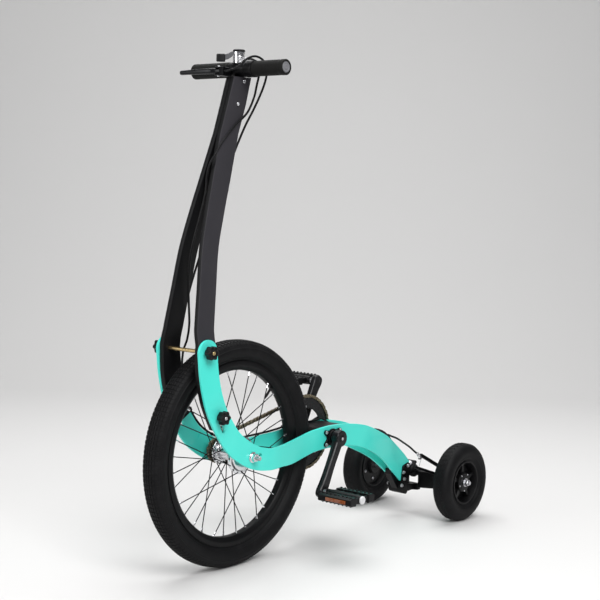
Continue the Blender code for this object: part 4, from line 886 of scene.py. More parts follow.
def make_bracket():
    """Side-view outlines extruded along X, with the plates' pockets and bores cut."""
    w = BRACKET_HALF_WIDTH
    body = rounded_loop(mm((636, 133), (627, 73), (629, 64), (652, 56), (660, 64), (656, 80),
                           (659, 98), (673, 118), (662, 140)), 0.004)
    spine = mm((600, 130), (638, 100), (638, 74), (627, 73), (596, 116))
    yoke = mm((-47, -16.5), (15, -16.5), (15, -22.5), (-47, -22.5))
    gap, tip = 0.0003, PLATE_BENDS[3][1]
    pocket = side_slab(mm((580, 190), (666.3, 142), (669.5, 137), (631.5, 93), (570, 93)),
                       tip - gap, tip + PLATE_THICKNESS + gap, 0.00001)
    piece = as_object("truck_bracket_skin", [side_slab(body, -w, w, 0.0012)], "frame", "coat",
                      "truck_bracket")
    hole = turned(mm((-40, 5.3), (40, 5.3)), along_lean(0), KINGPIN_WAY, 32)
    cup = turned(mm((-68, 7.7), (-32, 7.7)), along_lean(0), LEAN_WAY, 32)
    carve(piece, [pocket, mirrored(pocket), hole, cup])
    parts = [side_slab(spine, -0.0098, 0.0098), lean_slab(yoke, 0.015, 0.0012)]
    inner = as_object("truck_bracket_yoke", parts, "frame", "coat")
    carve(inner, [hole, cup])
    bolts = []
    for y, z in ((0.637, 0.116), (0.641, 0.0985), (0.63, 0.083), (0.655, 0.131)):
        for sign in (-1, 1):
            bolts.append(turned(rounded(mm((0, 5), (0.5, 5), (0.6, 4.2), (3.4, 4), (3.4, 1.8),
                                           (1.6, 1.4)), 0.0002, 2), at(sign * w, y, z),
                                (sign, 0, 0), 24))
    as_object("bracket_bolts", bolts, "frame", "steel")


def make_kingpin():
    """The turned pin, and two bushings whose radius ripples as a sine of the height."""
    pin = mm((-30.5, 5.5), (-30, 6.6), (-27, 7), (-27, 8.6), (-22.9, 8.8), (-22.9, 5), (15.8, 5),
             (15.8, 8.3), (16.6, 8.5), (20, 7.8), (20, 4.6), (16, 4.2))
    as_object("kingpin_skin", [kingpin_turned(pin, 36)], "frame", "steel", "kingpin", crease=30)
    for name, low, high in (("upper_bushing", -0.0162, -0.0053),
                            ("lower_bushing", 0.0155, 0.0053)):
        span = high - low
        rings = [(low, 0.0056), (low, 0.0112)]
        for i in range(13):
            share = i / 12
            ripple = 0.0007 * math.sin(share * 6 * math.pi - 1.2)
            rings.append((low + span * (0.04 + 0.92 * share), 0.0119 + ripple))
        rings += [(high, 0.0112), (high, 0.0074)]
        if span < 0:
            rings.reverse()
        piece = free_piece(f"{name}_skin", [kingpin_turned(rings, 48, True)], "bushing", name)
        along_lean(0, low)
        along_lean(0, high)
        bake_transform(piece)


def make_axle_beam():
    """The hanger: extruded arms and blocks, a ring and a pivot, with bores cut."""
    arm = beam_slab(mm((17.5, 108), (17.5, 64), (67, 69), (92, 80), (92, 116), (67, 111)), 0.0065,
                    0.0012)
    top = beam_slab(mm((-19, 97.5), (19, 97.5), (19, 108), (8, 116), (-8, 116), (-19, 108)),
                    0.0064)
    bottom = beam_slab(mm((0, 56), (18, 58), (18, 74), (-18, 74), (-18, 58)), 0.0063)
    ring = kingpin_turned(rounded_loop(mm((-5, 16), (-5, 16.8), (5, 16.8), (5, 16)), 0.0008), 48)
    nose = side_slab([(0.719, 0.06), (0.719, 0.0735), (0.695, 0.0745),
                      tuple(along_lean(-0.048, -0.0035)[1:] - [AXLE_Y, 0]),
                      tuple(along_lean(-0.048, 0.0065)[1:] - [AXLE_Y, 0]), (0.68, 0.058)], -0.0075,
                     0.0075)
    pivot = turned(rounded(mm((-62, 3), (-61, 6), (-45, 6.2)), 0.001), along_lean(0), LEAN_WAY, 32)
    rooms = []
    for low, high, radius in ((-0.03, 0.03, 0.0078), (0.005, 0.03, 0.0142),
                              (-0.03, -0.005, 0.0142)):
        rooms.append(kingpin_turned([(low, radius), (high, radius)], 40))
    for index, solid in enumerate((arm, mirrored(arm), top, bottom, ring, nose, pivot)):
        piece = as_object(f"hanger_part_{index + 1}", [solid], "truck", "coat", "axle_beam")
        if solid is not pivot:
            for room in rooms:
                carve(piece, [room])


def make_brake():
    """The backplate with its arm, the ridged adjuster, the brake arm and the drum."""
    y, z = REAR_AXLE
    disc = washer_x(0.099, 0.1015, y, z, 0.037, 0.0056, 64)
    dome = washer_x(0.0978, 0.0992, y, z, 0.016, 0.0056, 48)
    arm = side_slab(bar_outline((0.6005, 0.1785), (0.698, 0.13), 0.0085, None, 1, 1), 0.097, 0.103,
                    0.0008)
    middle, way = np.array(TAB_CENTRE), np.array(ADJUSTER_WAY)
    up = np.array([0.0, way[2], -way[1]])
    tab = side_slab(bar_outline((middle - up * 0.0055)[1:], (middle + up * 0.0068)[1:], 0.003),
                    0.097, 0.103, 0.0005)
    as_object("brake_anchor_skin", [disc, dome, arm, tab], "truck", "coat", "brake_anchor")
    nut = turned(mm((0, 4.2), (0.6, 4.6), (2.1, 4.6), (2.5, 4.1)), at(*(middle - way * 0.0015)),
                 -way, 6)
    as_object("adjuster_nut", [nut], "truck", "chrome", crease=30)
    profile = [(0.0, 0.0016)]
    for i in range(8):
        profile += [(0.0002 + i * 0.0011, 0.0043), (0.0008 + i * 0.0011, 0.0038)]
    profile += [(0.0096, 0.004), (0.01, 0.0037), (0.01, 0.0016)]
    foot = at(*(middle + way * 0.0018))
    as_object("barrel_adjuster_skin", [turned(profile, foot, way, 24)], "truck", "chrome",
              "barrel_adjuster", crease=25)
    outline = bar_outline((0.583, 0.1497), (0.69, 0.1128), 0.007, 0.0078, 1, 1)
    lever = side_slab(outline, 0.0945, 0.0985, 0.0006)
    pin = disc_x(0.0936, 0.1024, 0.69, 0.1128, 0.0024, 20)
    nut = turned(mm((0, 3.4), (2, 3.4)), at(0.0945, 0.585, 0.149), (-1, 0, 0), 6)
    as_object("brake_arm_skin", [lever, pin, nut], "brake_arm_body", "coat", "brake_arm")
    drum = turned(rounded_loop(mm((103.5, 40), (126.2, 40), (126.2, 16), (123.2, 16),
                                  (123.2, 36.5), (103.5, 36.5)), 0.0006), at(0, y, z), facets=64,
                  ring=True)
    as_object("brake_drum_skin", [drum], "left_rear_wheel", "steel", "brake_drum")


def make_rear_axles():
    """Each stub axle with its nut: stepped profiles turned around the axle's line."""
    y, z = REAR_AXLE
    shaft = mm((48.3, 5), (162.4, 5), (162.4, 10.8), (163.9, 10.8), (164.1, 5))
    nut = rounded(mm((163.9, 4), (163.9, 8), (165, 8.4), (171.5, 8.4), (172.6, 7.6), (172.6, 5.2)),
                  0.0003)
    tip = mm((170, 4.9), (176, 4.9), (176.6, 4.3))
    for side, sign in SIDES:
        parts = [turned(sided(sign, profile), at(0, y, z), facets=facets)
                 for profile, facets in ((shaft, 32), (nut, 6), (tip, 24))]
        as_object(f"{side}_rear_axle_skin", parts, "truck", "steel", f"{side}_rear_axle",
                  crease=30)


def rear_crown(x):
    """The rear tread's slope toward the shoulder, from its radius in the middle."""
    return -np.maximum(x - 0.011, 0.0) * 0.8


def rear_tread(sign):
    """Two staggered middle rows, two outer rows and shoulder lugs, all slanted."""
    step = 2 * math.pi / REAR_TREAD_PITCHES
    levels = ((0.0975, 1.0), (0.0997, 0.93), (0.1, 0.84))
    centre = at(sign * REAR_WHEEL_X, *REAR_AXLE)
    turn = [placed(centre, step * i) for i in range(REAR_TREAD_PITCHES)]
    blocks = []
    for x0, x1, a0, a1, skew in (
            (-0.0006, 0.005, 0.1, 0.62, 0.3), (-0.005, 0.0006, 0.6, 1.12, -0.3),
            (0.0062, 0.0125, 0.3, 0.92, -0.34), (-0.0125, -0.0062, 0.3, 0.92, 0.34),
            (0.0136, 0.02, 0.02, 0.56, 0.16), (-0.02, -0.0136, 0.02, 0.56, -0.16)):
        xs = np.array([x0, x1, x1, x0])
        angles = np.array([a0, a0 + skew, a1 + skew, a1]) * step
        blocks.append(copies(tread_block(xs, angles, levels, rear_crown), turn))
    return blocks


def make_rear_wheels():
    """Each wheel: a turned tyre and rim, with five spokes and ten bolts around."""
    y, z = REAR_AXLE
    half = mm((16.8, 56.3), (17.5, 60), (22.5, 66), (24.6, 74), (24.6, 82), (22.2, 89.6),
              (17.7, 95.3), (11, 98.8), (0, 99.2))
    outer = half_profile(half)
    inner = half_profile(mm((15, 56.3), (15, 62), (20, 74), (14, 88), (0, 91)))
    barrel = mm((18.8, 51.8), (19, 55.6), (-19, 55.6), (-18.8, 51.8), (-10, 49.5), (-4, 48),
                (6, 49))
    hub = mm((-18.3, 5.6), (-18.3, 19.5), (-10, 21.5), (6, 21.5), (15.8, 19.5), (15.8, 5.6))
    ring = mm((10, 18), (10, 25.5), (12.5, 25.5), (14.5, 22.5), (14.5, 18))
    web = mm((-9.8, 20.5), (-4.5, 20.5), (-4.5, 49.2), (-9.8, 49.2))
    rims = ((rounded_loop(barrel, 0.001), 96), (rounded_loop(hub, 0.001), 64),
            (rounded_loop(ring, 0.0005), 64), (rounded_loop(web, 0.0006), 72))
    head = rounded(mm((-2, 2.2), (0.6, 2.2), (1, 1.8), (1, 1), (0.2, 0.8)), 0.0002, 2)
    for side, sign in SIDES:
        centre = at(sign * REAR_WHEEL_X, y, z)
        body = f"{side}_rear_wheel"
        tyre = turned(np.vstack([outer, inner[::-1]]), centre, facets=int(144 * FINE), ring=True)
        beads = [turned([(s * 0.0232, 0.0668), (s * 0.024, 0.068), (s * 0.0234, 0.0692)], centre,
                        facets=96, ring=True) for s in (-1, 1)]
        as_object(f"{side}_rear_tyre_skin", [tyre] + beads, body, "tyre", f"{side}_rear_tyre",
                  crease=40)
        as_object(f"{side}_rear_tread", rear_tread(sign), body, "tyre", crease=30)
        out = (sign, 0, 0)
        pieces = [turned(profile, centre, out, facets, ring=True) for profile, facets in rims]
        bolts = []
        for number in range(5):
            angle = 2 * math.pi * number / 5 + math.pi / 2
            arm = bar_outline(around(y, z, 0.018, angle), around(y, z, 0.0505, angle), 0.011,
                              0.008)
            pieces.append(side_slab(arm, sign * (REAR_WHEEL_X - 0.005),
                                    sign * (REAR_WHEEL_X + 0.0088), 0.001))
            between = angle + math.pi / 5
            spot = at(sign * (REAR_WHEEL_X - 0.0098), *around(y, z, 0.0355, between))
            bolts.append(bolt(spot, (-sign, 0, 0), 0.004, 0.0026))
            boss = at(sign * (REAR_WHEEL_X + 0.0144), *around(y, z, 0.0222, between))
            bolts.append(turned(head, boss, out, 16))
        as_object(f"{side}_rear_rim_skin", pieces, body, "plastic", f"{side}_rear_rim", crease=32)
        as_object(f"{side}_rear_rim_bolts", bolts, body, "steel")


# Chain, cranks and pedals

def pitch_radius(teeth):
    """Half a pitch over the sine of half a tooth's angle."""
    return CHAIN_PITCH / 2 / math.sin(math.pi / teeth)


def tooth_profile(teeth, y, z):
    """Ten points a tooth: rounded valleys for the rollers and flat-topped teeth."""
    steps, tip, root = 10, 0.0028, 0.004
    k = np.arange(teeth * steps)
    share = (k % steps) / steps
    valley = np.exp(-((share - 0.5) / 0.24) ** 4)
    radius = pitch_radius(teeth) + tip - (tip + root) * valley
    return np.stack(around(y, z, radius, 2 * np.pi * k / (teeth * steps)), axis=1)


def make_sprocket():
    """The small toothed wheel, extruded, on a turned ring."""
    y, z = FRONT_AXLE[1:]
    cog = side_slab(tooth_profile(COG_TEETH, y, z), CHAINLINE - 0.001, CHAINLINE + 0.001, 0.0003)
    driver = washer_x(-0.0343, -0.0519, y, z, 0.0155, 0.0058, 48)
    as_object("hub_sprocket_skin", [cog, driver], "sprocket", "chain", "hub_sprocket")


def chain_points(count):
    """Pitch points along the loop: over the ring, the lower run, the cog, the upper run."""
    ring, cog = pitch_radius(RING_TEETH), pitch_radius(COG_TEETH)
    distance = CRANK_AXIS[1]
    tilt = math.asin((ring - cog) / distance)
    rear = np.linspace(math.pi / 2 + tilt, -math.pi / 2 - tilt, 400)
    front = np.linspace(-math.pi / 2 - tilt, -3 * math.pi / 2 + tilt, 120)
    path = np.vstack([np.stack([distance + ring * np.cos(rear), ring * np.sin(rear)], axis=1),
                      np.stack([cog * np.cos(front), cog * np.sin(front)], axis=1)])
    path = np.vstack([path, path[:1]])
    run = np.concatenate([[0], np.cumsum(np.linalg.norm(np.diff(path, axis=0), axis=1))])
    wanted = run[-1] * np.arange(count) / count
    points = np.stack([np.interp(wanted, run, path[:, k]) for k in range(2)], axis=1)
    return points + [0, CRANK_AXIS[2]]


def make_chain():
    """Rollers on every pitch point, with inner and outer link plates between them in turn."""
    ring, cog = pitch_radius(RING_TEETH), pitch_radius(COG_TEETH)
    tilt = math.asin((ring - cog) / CRANK_AXIS[1])
    length = 2 * CRANK_AXIS[1] * math.cos(tilt) + ring * (math.pi + 2 * tilt)
    length += cog * (math.pi - 2 * tilt)
    count = 2 * int(round(length / CHAIN_PITCH / 2))
    points = chain_points(count)
    ahead = np.roll(points, -1, axis=0)
    middle = (points + ahead) / 2
    step = np.linalg.norm(ahead - points, axis=1).mean()
    angle = np.arctan2(ahead[:, 1] - points[:, 1], ahead[:, 0] - points[:, 0])
    place = [placed(at(CHAINLINE, *m), a) for m, a in zip(middle, angle)]

    def link(low, high):
        k = np.linspace(0, 2 * np.pi, 28, endpoint=False)
        along = (step / 2) * np.sign(np.cos(k)) * (np.abs(np.cos(k)) > 1e-9)
        u = along + 0.004 * np.cos(k)
        waist = 1 - 0.2 * np.exp(-(u / 0.003) ** 2)
        outline = np.stack([u, 0.004 * np.sin(k) * waist], axis=1)
        return slab(outline, low, high, 0.00018, "X")

    inner = [link(0.0018, 0.0027), link(-0.0027, -0.0018)]
    outer = [link(0.0029, 0.0038), link(-0.0038, -0.0029)]
    surfaces = [copies(plate, place[0::2]) for plate in inner]
    surfaces += [copies(plate, place[1::2]) for plate in outer]
    spots = [placed(at(CHAINLINE, *point)) for point in points]
    roller = turned(mm((-1.7, 3.5), (-1.4, 3.8), (1.4, 3.8), (1.7, 3.5)), (0, 0, 0), facets=16)
    pin = turned(mm((-4.1, 1.4), (-4, 1.8), (4, 1.8), (4.1, 1.4)), (0, 0, 0), facets=12)
    surfaces += [copies(roller, spots), copies(pin, spots)]
    as_object("chain_skin", surfaces, "frame", "chain", "chain")


def spider_angles():
    """Five even angles, the first at 20 degrees."""
    return [2 * math.pi * n / 5 + math.radians(20) for n in range(5)]


def make_chainring():
    """The extruded tooth profile with a round opening, its tabs and its bolts."""
    y, z = CRANK_AXIS[1:]
    teeth = tooth_profile(RING_TEETH, y, z)
    plate = side_slab(teeth, CHAINLINE - 0.001, CHAINLINE + 0.001, 0.0003)
    ring = as_object("chainring_skin", [plate], "cranks", "black_metal", "chainring", crease=30)
    carve(ring, [disc_x(-0.04, -0.05, y, z, 0.061, 160)])
    low, high = CHAINLINE - 0.0009, CHAINLINE + 0.0009
    tabs = [washer_x(low, high, y, z, 0.066, 0.06, 160)]
    bolts = []
    head = rounded(mm((-54.8, 5.2), (-55.6, 5.2), (-56.3, 4.4), (-56.3, 3), (-54.5, 2.6)), 0.0003,
                   2)
    nut = mm((-50.3, 3.6), (-44, 3.6), (-44, 5.2), (-42.8, 5.2), (-42.4, 4.6))
    for angle in spider_angles():
        tab = bar_outline(around(y, z, 0.057, angle), around(y, z, 0.072, angle), 0.015, 0.023, 1)
        tabs.append(side_slab(tab, low, high, 0.0003))
        spot = at(0, *around(y, z, 0.063, angle))
        bolts += [turned(head, spot, facets=24), turned(nut, spot, facets=24)]
    as_object("chainring_tabs", tabs, "cranks", "black_metal", crease=30)
    as_object("chainring_bolts", bolts, "cranks", "steel", crease=30)


def crank_frame(sign):
    """Unit vectors along and across a crank arm, the left one for sign 1."""
    angle = CRANK_ANGLE if sign > 0 else CRANK_ANGLE + math.pi
    direction = np.array([0.0, math.cos(angle + math.pi), math.sin(angle)])
    return direction, np.array([0.0, -direction[2], direction[1]])


CRANK_STATIONS = [(-0.118, 0.0575, 0.0672, 0.004), (-0.108, 0.0562, 0.0688, 0.0095),
                  (-0.08, 0.0555, 0.0699, 0.0138), (-0.04, 0.0552, 0.0708, 0.0158),
                  (0.0, 0.055, 0.0714, 0.0165), (0.07, 0.0556, 0.072, 0.0148),
                  (0.13, 0.0565, 0.0724, 0.013), (0.3, 0.0598, 0.0748, 0.012),
                  (0.5, 0.0635, 0.0775, 0.012), (0.7, 0.0667, 0.0812, 0.0127),
                  (0.88, 0.0692, 0.0842, 0.0141), (0.96, 0.0702, 0.0853, 0.0155),
                  (1.0, 0.0705, 0.0855, 0.016), (1.05, 0.0705, 0.0855, 0.014),
                  (1.085, 0.0707, 0.0853, 0.0096), (1.1, 0.0714, 0.0846, 0.0045)]


def make_cranks():
    """Each arm: sections lofted along smooth stations, with a turned head and bolt."""
    y, z = CRANK_AXIS[1:]
    spindle = mm((-70, 4.5), (-66, 7.5), (-55.5, 8.5), (55.5, 8.5), (66, 7.5), (70, 4.5))
    as_object("crank_spindle_skin", [turned(spindle, at(0, y, z), facets=32)], "cranks", "steel",
              "crank_spindle", crease=30)
    axis = at(*CRANK_AXIS)
    stations = spline(CRANK_STATIONS, int(90 * FINE))
    for side, sign in SIDES:
        direction, across = crank_frame(sign)
        rings = []
        for share, low, high, half in stations:
            middle = axis + direction * CRANK_LENGTH * share
            ring = []
            for u, w in ((-0.97, 0.1), (-1.0, 0.3), (-0.98, 0.62), (-0.9, 0.86), (-0.72, 1.0),
                         (0.72, 1.0), (0.9, 0.86), (0.98, 0.62), (1.0, 0.3), (0.97, 0.1),
                         (0.85, 0.0), (-0.85, 0.0)):
                point = middle + across * half * u
                ring.append((sign * (low + (high - low) * w), point[1], point[2]))
            rings.append(ring)
        arm = as_object(f"{side}_crank_skin", [loft(rings)], "cranks", "black_metal",
                        f"{side}_crank", crease=40)
        carve(arm, [disc_x(sign * 0.05, sign * 0.0702, y, z, 0.0088, 40)])
        boss = rounded(mm((53.5, 9.2), (53.5, 18.6), (54.5, 19.5), (70.6, 19.5), (72.2, 18.1),
                          (72.2, 9.2)), 0.0008, 3)
        boss = turned(sided(sign, boss), axis, facets=72, ring=True)
        cap = rounded(mm((70.4, 9.1), (72.7, 9.1), (73.1, 8.5)), 0.0003, 2)
        cap = turned(sided(sign, cap), axis, facets=40)
        as_object(f"{side}_crank_head", [boss, cap], "cranks", "black_metal")
        hex_bolt = rounded(mm((72.5, 4.2), (73.8, 4.2), (74.3, 3.4)), 0.0003, 2)
        hex_bolt = turned(sided(sign, hex_bolt), axis, facets=6)
        as_object(f"{side}_crank_bolt", [hex_bolt], "cranks", "steel")
        if sign < 0:
            make_spider(y, z)
        make_pedal(side, sign, axis + direction * CRANK_LENGTH)


def make_spider(y, z):
    """Two turned rings and five tapered arms that reach the chainring's tabs."""
    arms = [washer_x(-0.05, -0.0545, y, z, 0.029, 0.0092, 64),
            washer_x(-0.052, -0.06, y, z, 0.0165, 0.0092, 48)]
    for angle in spider_angles():
        arm = bar_outline(around(y, z, 0.019, angle), around(y, z, 0.064, angle), 0.025, 0.02, 0,
                          1)
        arms.append(side_slab(arm, -0.0504, -0.0545, 0.0009))
    as_object("crank_spider", arms, "cranks", "black_metal")


def make_pedal(side, sign, hub):
    """Two tread blocks with pins and teeth, a middle barrel, cross ribs, end cap, reflector."""
    low, high = 0.102, 0.201
    y, z = hub[1] - AXLE_Y, hub[2]
    body = f"{side}_pedal_body"
    axle = [(0.0712, 0.006), (0.0872, 0.006), (0.0872, 0.0085), (0.0912, 0.0085), (0.0912, 0.0055),
            (high - 0.006, 0.0045)]
    as_object(f"{side}_pedal_axle", [turned(sided(sign, axle), at(0, y, z))], "cranks", "steel")
    barrel = rounded_loop([(low - 0.0055, 0.0062), (low - 0.0055, 0.0105), (low + 0.01, 0.0112),
                           (high - 0.016, 0.0108), (high - 0.003, 0.0092), (high - 0.003, 0.0062)],
                          0.001)
    parts = [turned(sided(sign, barrel), at(0, y, z), facets=48, ring=True)]
    for way in (-1, 1):
        outline = [(y + way * u, z + v) for u, v in mm((23.2, -9.8), (39, -9.2), (44.8, -6.2),
                                                       (44.8, 6.2), (39, 9.2), (23.2, 9.8))]
        parts.append(side_slab(outline, sign * low, sign * (high - 0.0012), 0.0016))
    for x in np.linspace(low + 0.001, high - 0.0115, 5):
        for way in (-1, 1):
            rib = box_outline(y + way * 0.0098, y + way * 0.025, z - 0.0068, z + 0.0068)
            parts.append(side_slab(rib, sign * x, sign * (x + 0.007), 0.0006))
    as_object(f"{side}_pedal_skin", parts, body, "plastic", f"{side}_pedal", crease=32)
    studs = []
    for x in np.linspace(low + 0.008, high - 0.01, 8):
        for way in (-1, 1):
            for up in (-1, 1):
                foot = at(sign * x, y + way * 0.034, z + up * 0.0084)
                studs.append(turned(mm((0, 2.7), (2.8, 2.4), (3.5, 1.6)), foot, (0, 0, up), 12))
    as_object(f"{side}_pedal_studs", studs, body, "plastic", crease=30)
    cap = rounded([(high - 0.007, 0.0094), (high - 0.0012, 0.0094), (high, 0.0076), (high, 0.002)],
                  0.0012)
    cap = turned(sided(sign, cap), at(0, y, z), facets=40)
    as_object(f"{side}_pedal_cap", [cap], body, "white_plastic")
    middle = sign * ((low + high) / 2 + 0.0045)
    face = y - 0.0454
    outline = box_outline(middle - 0.029, middle + 0.029, z - 0.0041, z + 0.0041)
    lens = slab(outline, face + AXLE_Y, face - 0.0024 + AXLE_Y, 0.0006, "Y")
    as_object(f"{side}_pedal_reflector_skin", [lens], body, "amber", f"{side}_pedal_reflector",
              crease=30)


# Handlebar, posts and controls

POST_EDGES = mm(((-120, 330), (-75, 357)), ((-148, 386.5), (-97.7, 405.5)),
                ((-163, 442.8), (-110, 453.2)), ((-166.5, 500), (-115.5, 500)),
                ((-165.5, 515), (-115, 515)), ((-163, 549), (-113, 549)),
                ((-149, 632), (-100, 632)), ((-135, 716), (-86, 716)), ((-114.5, 790), (-63, 790)),
                ((-91, 864), (-37, 864)), ((-63.5, 950), (-8, 950)), ((-58.5, 965), (-3, 965)),
                ((-37, 1030), (20, 1030)), ((-18, 1089), (36, 1089)))
POST_BENDS = mm((515, 59.2), (545, 52.7), (965, 12.4))


def post_outer(z):
    """A post's outer face at a height, straight between its bends."""
    return np.interp(z, [b[0] for b in POST_BENDS], [b[1] for b in POST_BENDS])


def post_surface():
    """A flat plank through smooth front and rear edges, its long rims eased, leaning inward."""
    edges = np.array([(*front, *rear) for front, rear in POST_EDGES])
    fine = spline(edges[:12], int(150 * FINE))
    fine = np.vstack([fine, edges[12:]])
    front, rear = fine[:, :2], fine[:, 2:]
    across = (rear - front) / np.linalg.norm(rear - front, axis=1, keepdims=True)
    rings = []
    ease, full = 0.0011, POST_THICKNESS
    for edge, inward, pull, depth in (
            (front, 1, 0, ease), (front, 1, ease * 0.3, ease * 0.3), (front, 1, ease, 0),
            (rear, -1, ease, 0), (rear, -1, ease * 0.3, ease * 0.3), (rear, -1, 0, ease),
            (rear, -1, 0, full - ease), (rear, -1, ease * 0.3, full - ease * 0.3),
            (rear, -1, ease, full), (front, 1, ease, full),
            (front, 1, ease * 0.3, full - ease * 0.3), (front, 1, 0, full - ease)):
        point = edge + across * inward * pull
        rings.append(np.column_stack([post_outer(edge[:, 1]) - depth, point]))
    return skin(shifted(np.stack(rings, axis=1)))


def swing_outline():
    """The slot that lets the lower bolt leave a post as the posts fold back."""
    arm = np.array(CLAMP_POINT) - np.array(FOLD_AXIS)
    start = math.atan2(arm[1], arm[0])
    reach = np.linalg.norm(arm)
    angles = start + np.radians(np.linspace(-1.0, 19.0, 16))
    outline = [(reach + 0.0048, a) for a in angles] + [(reach - 0.0048, a) for a in angles[::-1]]
    nearer = start - math.radians(1.9)
    outline += [(reach - 0.0028, nearer), (reach + 0.0028, nearer)]
    return [(FOLD_AXIS[0] + r * math.cos(a), FOLD_AXIS[1] + r * math.sin(a)) for r, a in outline]


def make_posts():
    """Both posts, one the other's mirror image, with slot and hole cut, and their bolts."""
    surface = post_surface()
    for side, sign in SIDES:
        piece = as_object(f"{side}_post_skin", [surface if sign > 0 else mirrored(surface)],
                          "handlebar", "post", f"{side}_post", crease=30)
        slot = side_slab(swing_outline(), 0.04, 0.065, 0.00001)
        hole = disc_x(0.04, 0.07, *FOLD_AXIS, 0.0046, 24)
        tools = [slot, hole]
        carve(piece, [t if sign > 0 else mirrored(t) for t in tools])
    seat = POST_BENDS[-1, 1] + 0.0003
    for name, (y, z) in (("upper_post_bolt", (0.0106, 1.08)),
                         ("lower_post_bolt", (-0.0082, 1.03))):
        head = [(seat, 0.0025), (seat, 0.0046), (seat + 0.0008, 0.0046), (seat + 0.003, 0.0041),
                (seat + 0.0035, 0.0034), (seat + 0.0035, 0.002), (seat + 0.0018, 0.0016)]
        shank = turned([(-seat - 0.001, 0.0024), (seat + 0.001, 0.0024)], at(0, y, z), facets=24)
        heads = [turned(sided(s, rounded(head, 0.0004, 3)), at(0, y, z), facets=32)
                 for s in (-1, 1)]
        as_object(f"{name}_skin", [shank] + heads, "handlebar", "chrome", name, crease=30)


def make_fold_parts():
    """The rod that the posts turn on, the lower bolts, and a knob at every end."""
    end = 0.0865
    rod = turned([(-end, 0.0036), (-end + 0.0007, 0.0043), (end - 0.0007, 0.0043), (end, 0.0036)],
                 at(0, *FOLD_AXIS), facets=32)
    as_object("fold_rod_skin", [rod], "frame", "brass", "fold_rod", crease=30)
    for side, sign in SIDES:
        bolt_profile = [(0.0427, 0.0062), (0.0431, 0.007), (0.0465, 0.007), (0.0468, 0.004),
                        (end - 0.0006, 0.004), (end, 0.0034)]
        shank = turned(sided(sign, bolt_profile), at(0, *CLAMP_POINT), facets=32)
        as_object(f"{side}_clamp_bolt_skin", [shank], "frame", "steel", f"{side}_clamp_bolt",
                  crease=30)
        for height, (y, z) in (("upper", FOLD_AXIS), ("lower", CLAMP_POINT)):
            make_knob(f"{height}_{side}_knob", sign, y, z)


def make_knob(name, sign, y, z):
    """A six-lobed knob; each ring has a place along x, a size and a share of the lobes."""
    rings = []
    angles = 2 * np.pi * np.arange(96) / 96
    mean = 0.0142
    wave = np.cos(6 * angles)
    lobes = mean + 0.0018 * wave - 0.0003 * (1 + wave) ** 2 / 4
    flare = [(0.0658, 0.6, 0.0), (0.0664, 0.62, 0.0), (0.07, 0.66, 0.1), (0.0712, 0.86, 0.8),
             (0.072, 0.975, 1.0), (0.073, 1.0, 1.0), (0.0838, 1.0, 1.0), (0.0852, 0.965, 1.0),
             (0.0862, 0.86, 0.9), (0.0866, 0.6, 0.3), (0.0862, 0.52, 0.0), (0.0862, 0.345, 0.0)]
    radii = [(x, scale * (mean + (lobes - mean) * share)) for x, scale, share in flare]
    for x, radius in radii + [(0.086, 0.0049), (0.0658, 0.0049)]:
        ring_y, ring_z = around(y + AXLE_Y, z, radius, angles)
        rings.append(np.stack([np.full(96, sign * x), ring_y, ring_z], axis=1))
    surface = skin(np.array(rings), wrap_rows=True)
    as_object(f"{name}_skin", [surface], f"{name}_body", "plastic", name)


def ribbed_grip(sign):
    """The grip's profile: a plain sleeve with shallow rings near both ends and a raised flange."""
    x = np.concatenate([np.linspace(0.026, 0.13, int(230 * FINE)),
                        np.linspace(0.1303, 0.1358, 14)])
    radius = np.full_like(x, 0.0166)
    radius -= 0.0012 * np.clip(1 - (x - 0.026) / 0.0016, 0, 1) ** 2
    near = (x > 0.029) & (x < 0.118)
    depth = chosen_size("rib_depth")
    radius += np.where(near, depth * np.abs(np.sin((x - 0.029) * np.pi / 0.0042)) ** 0.7, 0)
    radius += 0.0005 * np.clip((x - 0.122) / 0.003, 0, 1)
    radius = np.where(x > 0.1335, 0.0171 - 0.003 * ((x - 0.1335) / 0.0023) ** 2, radius)
    return np.stack([sign * x, np.minimum(radius, 0.0171)], axis=1)


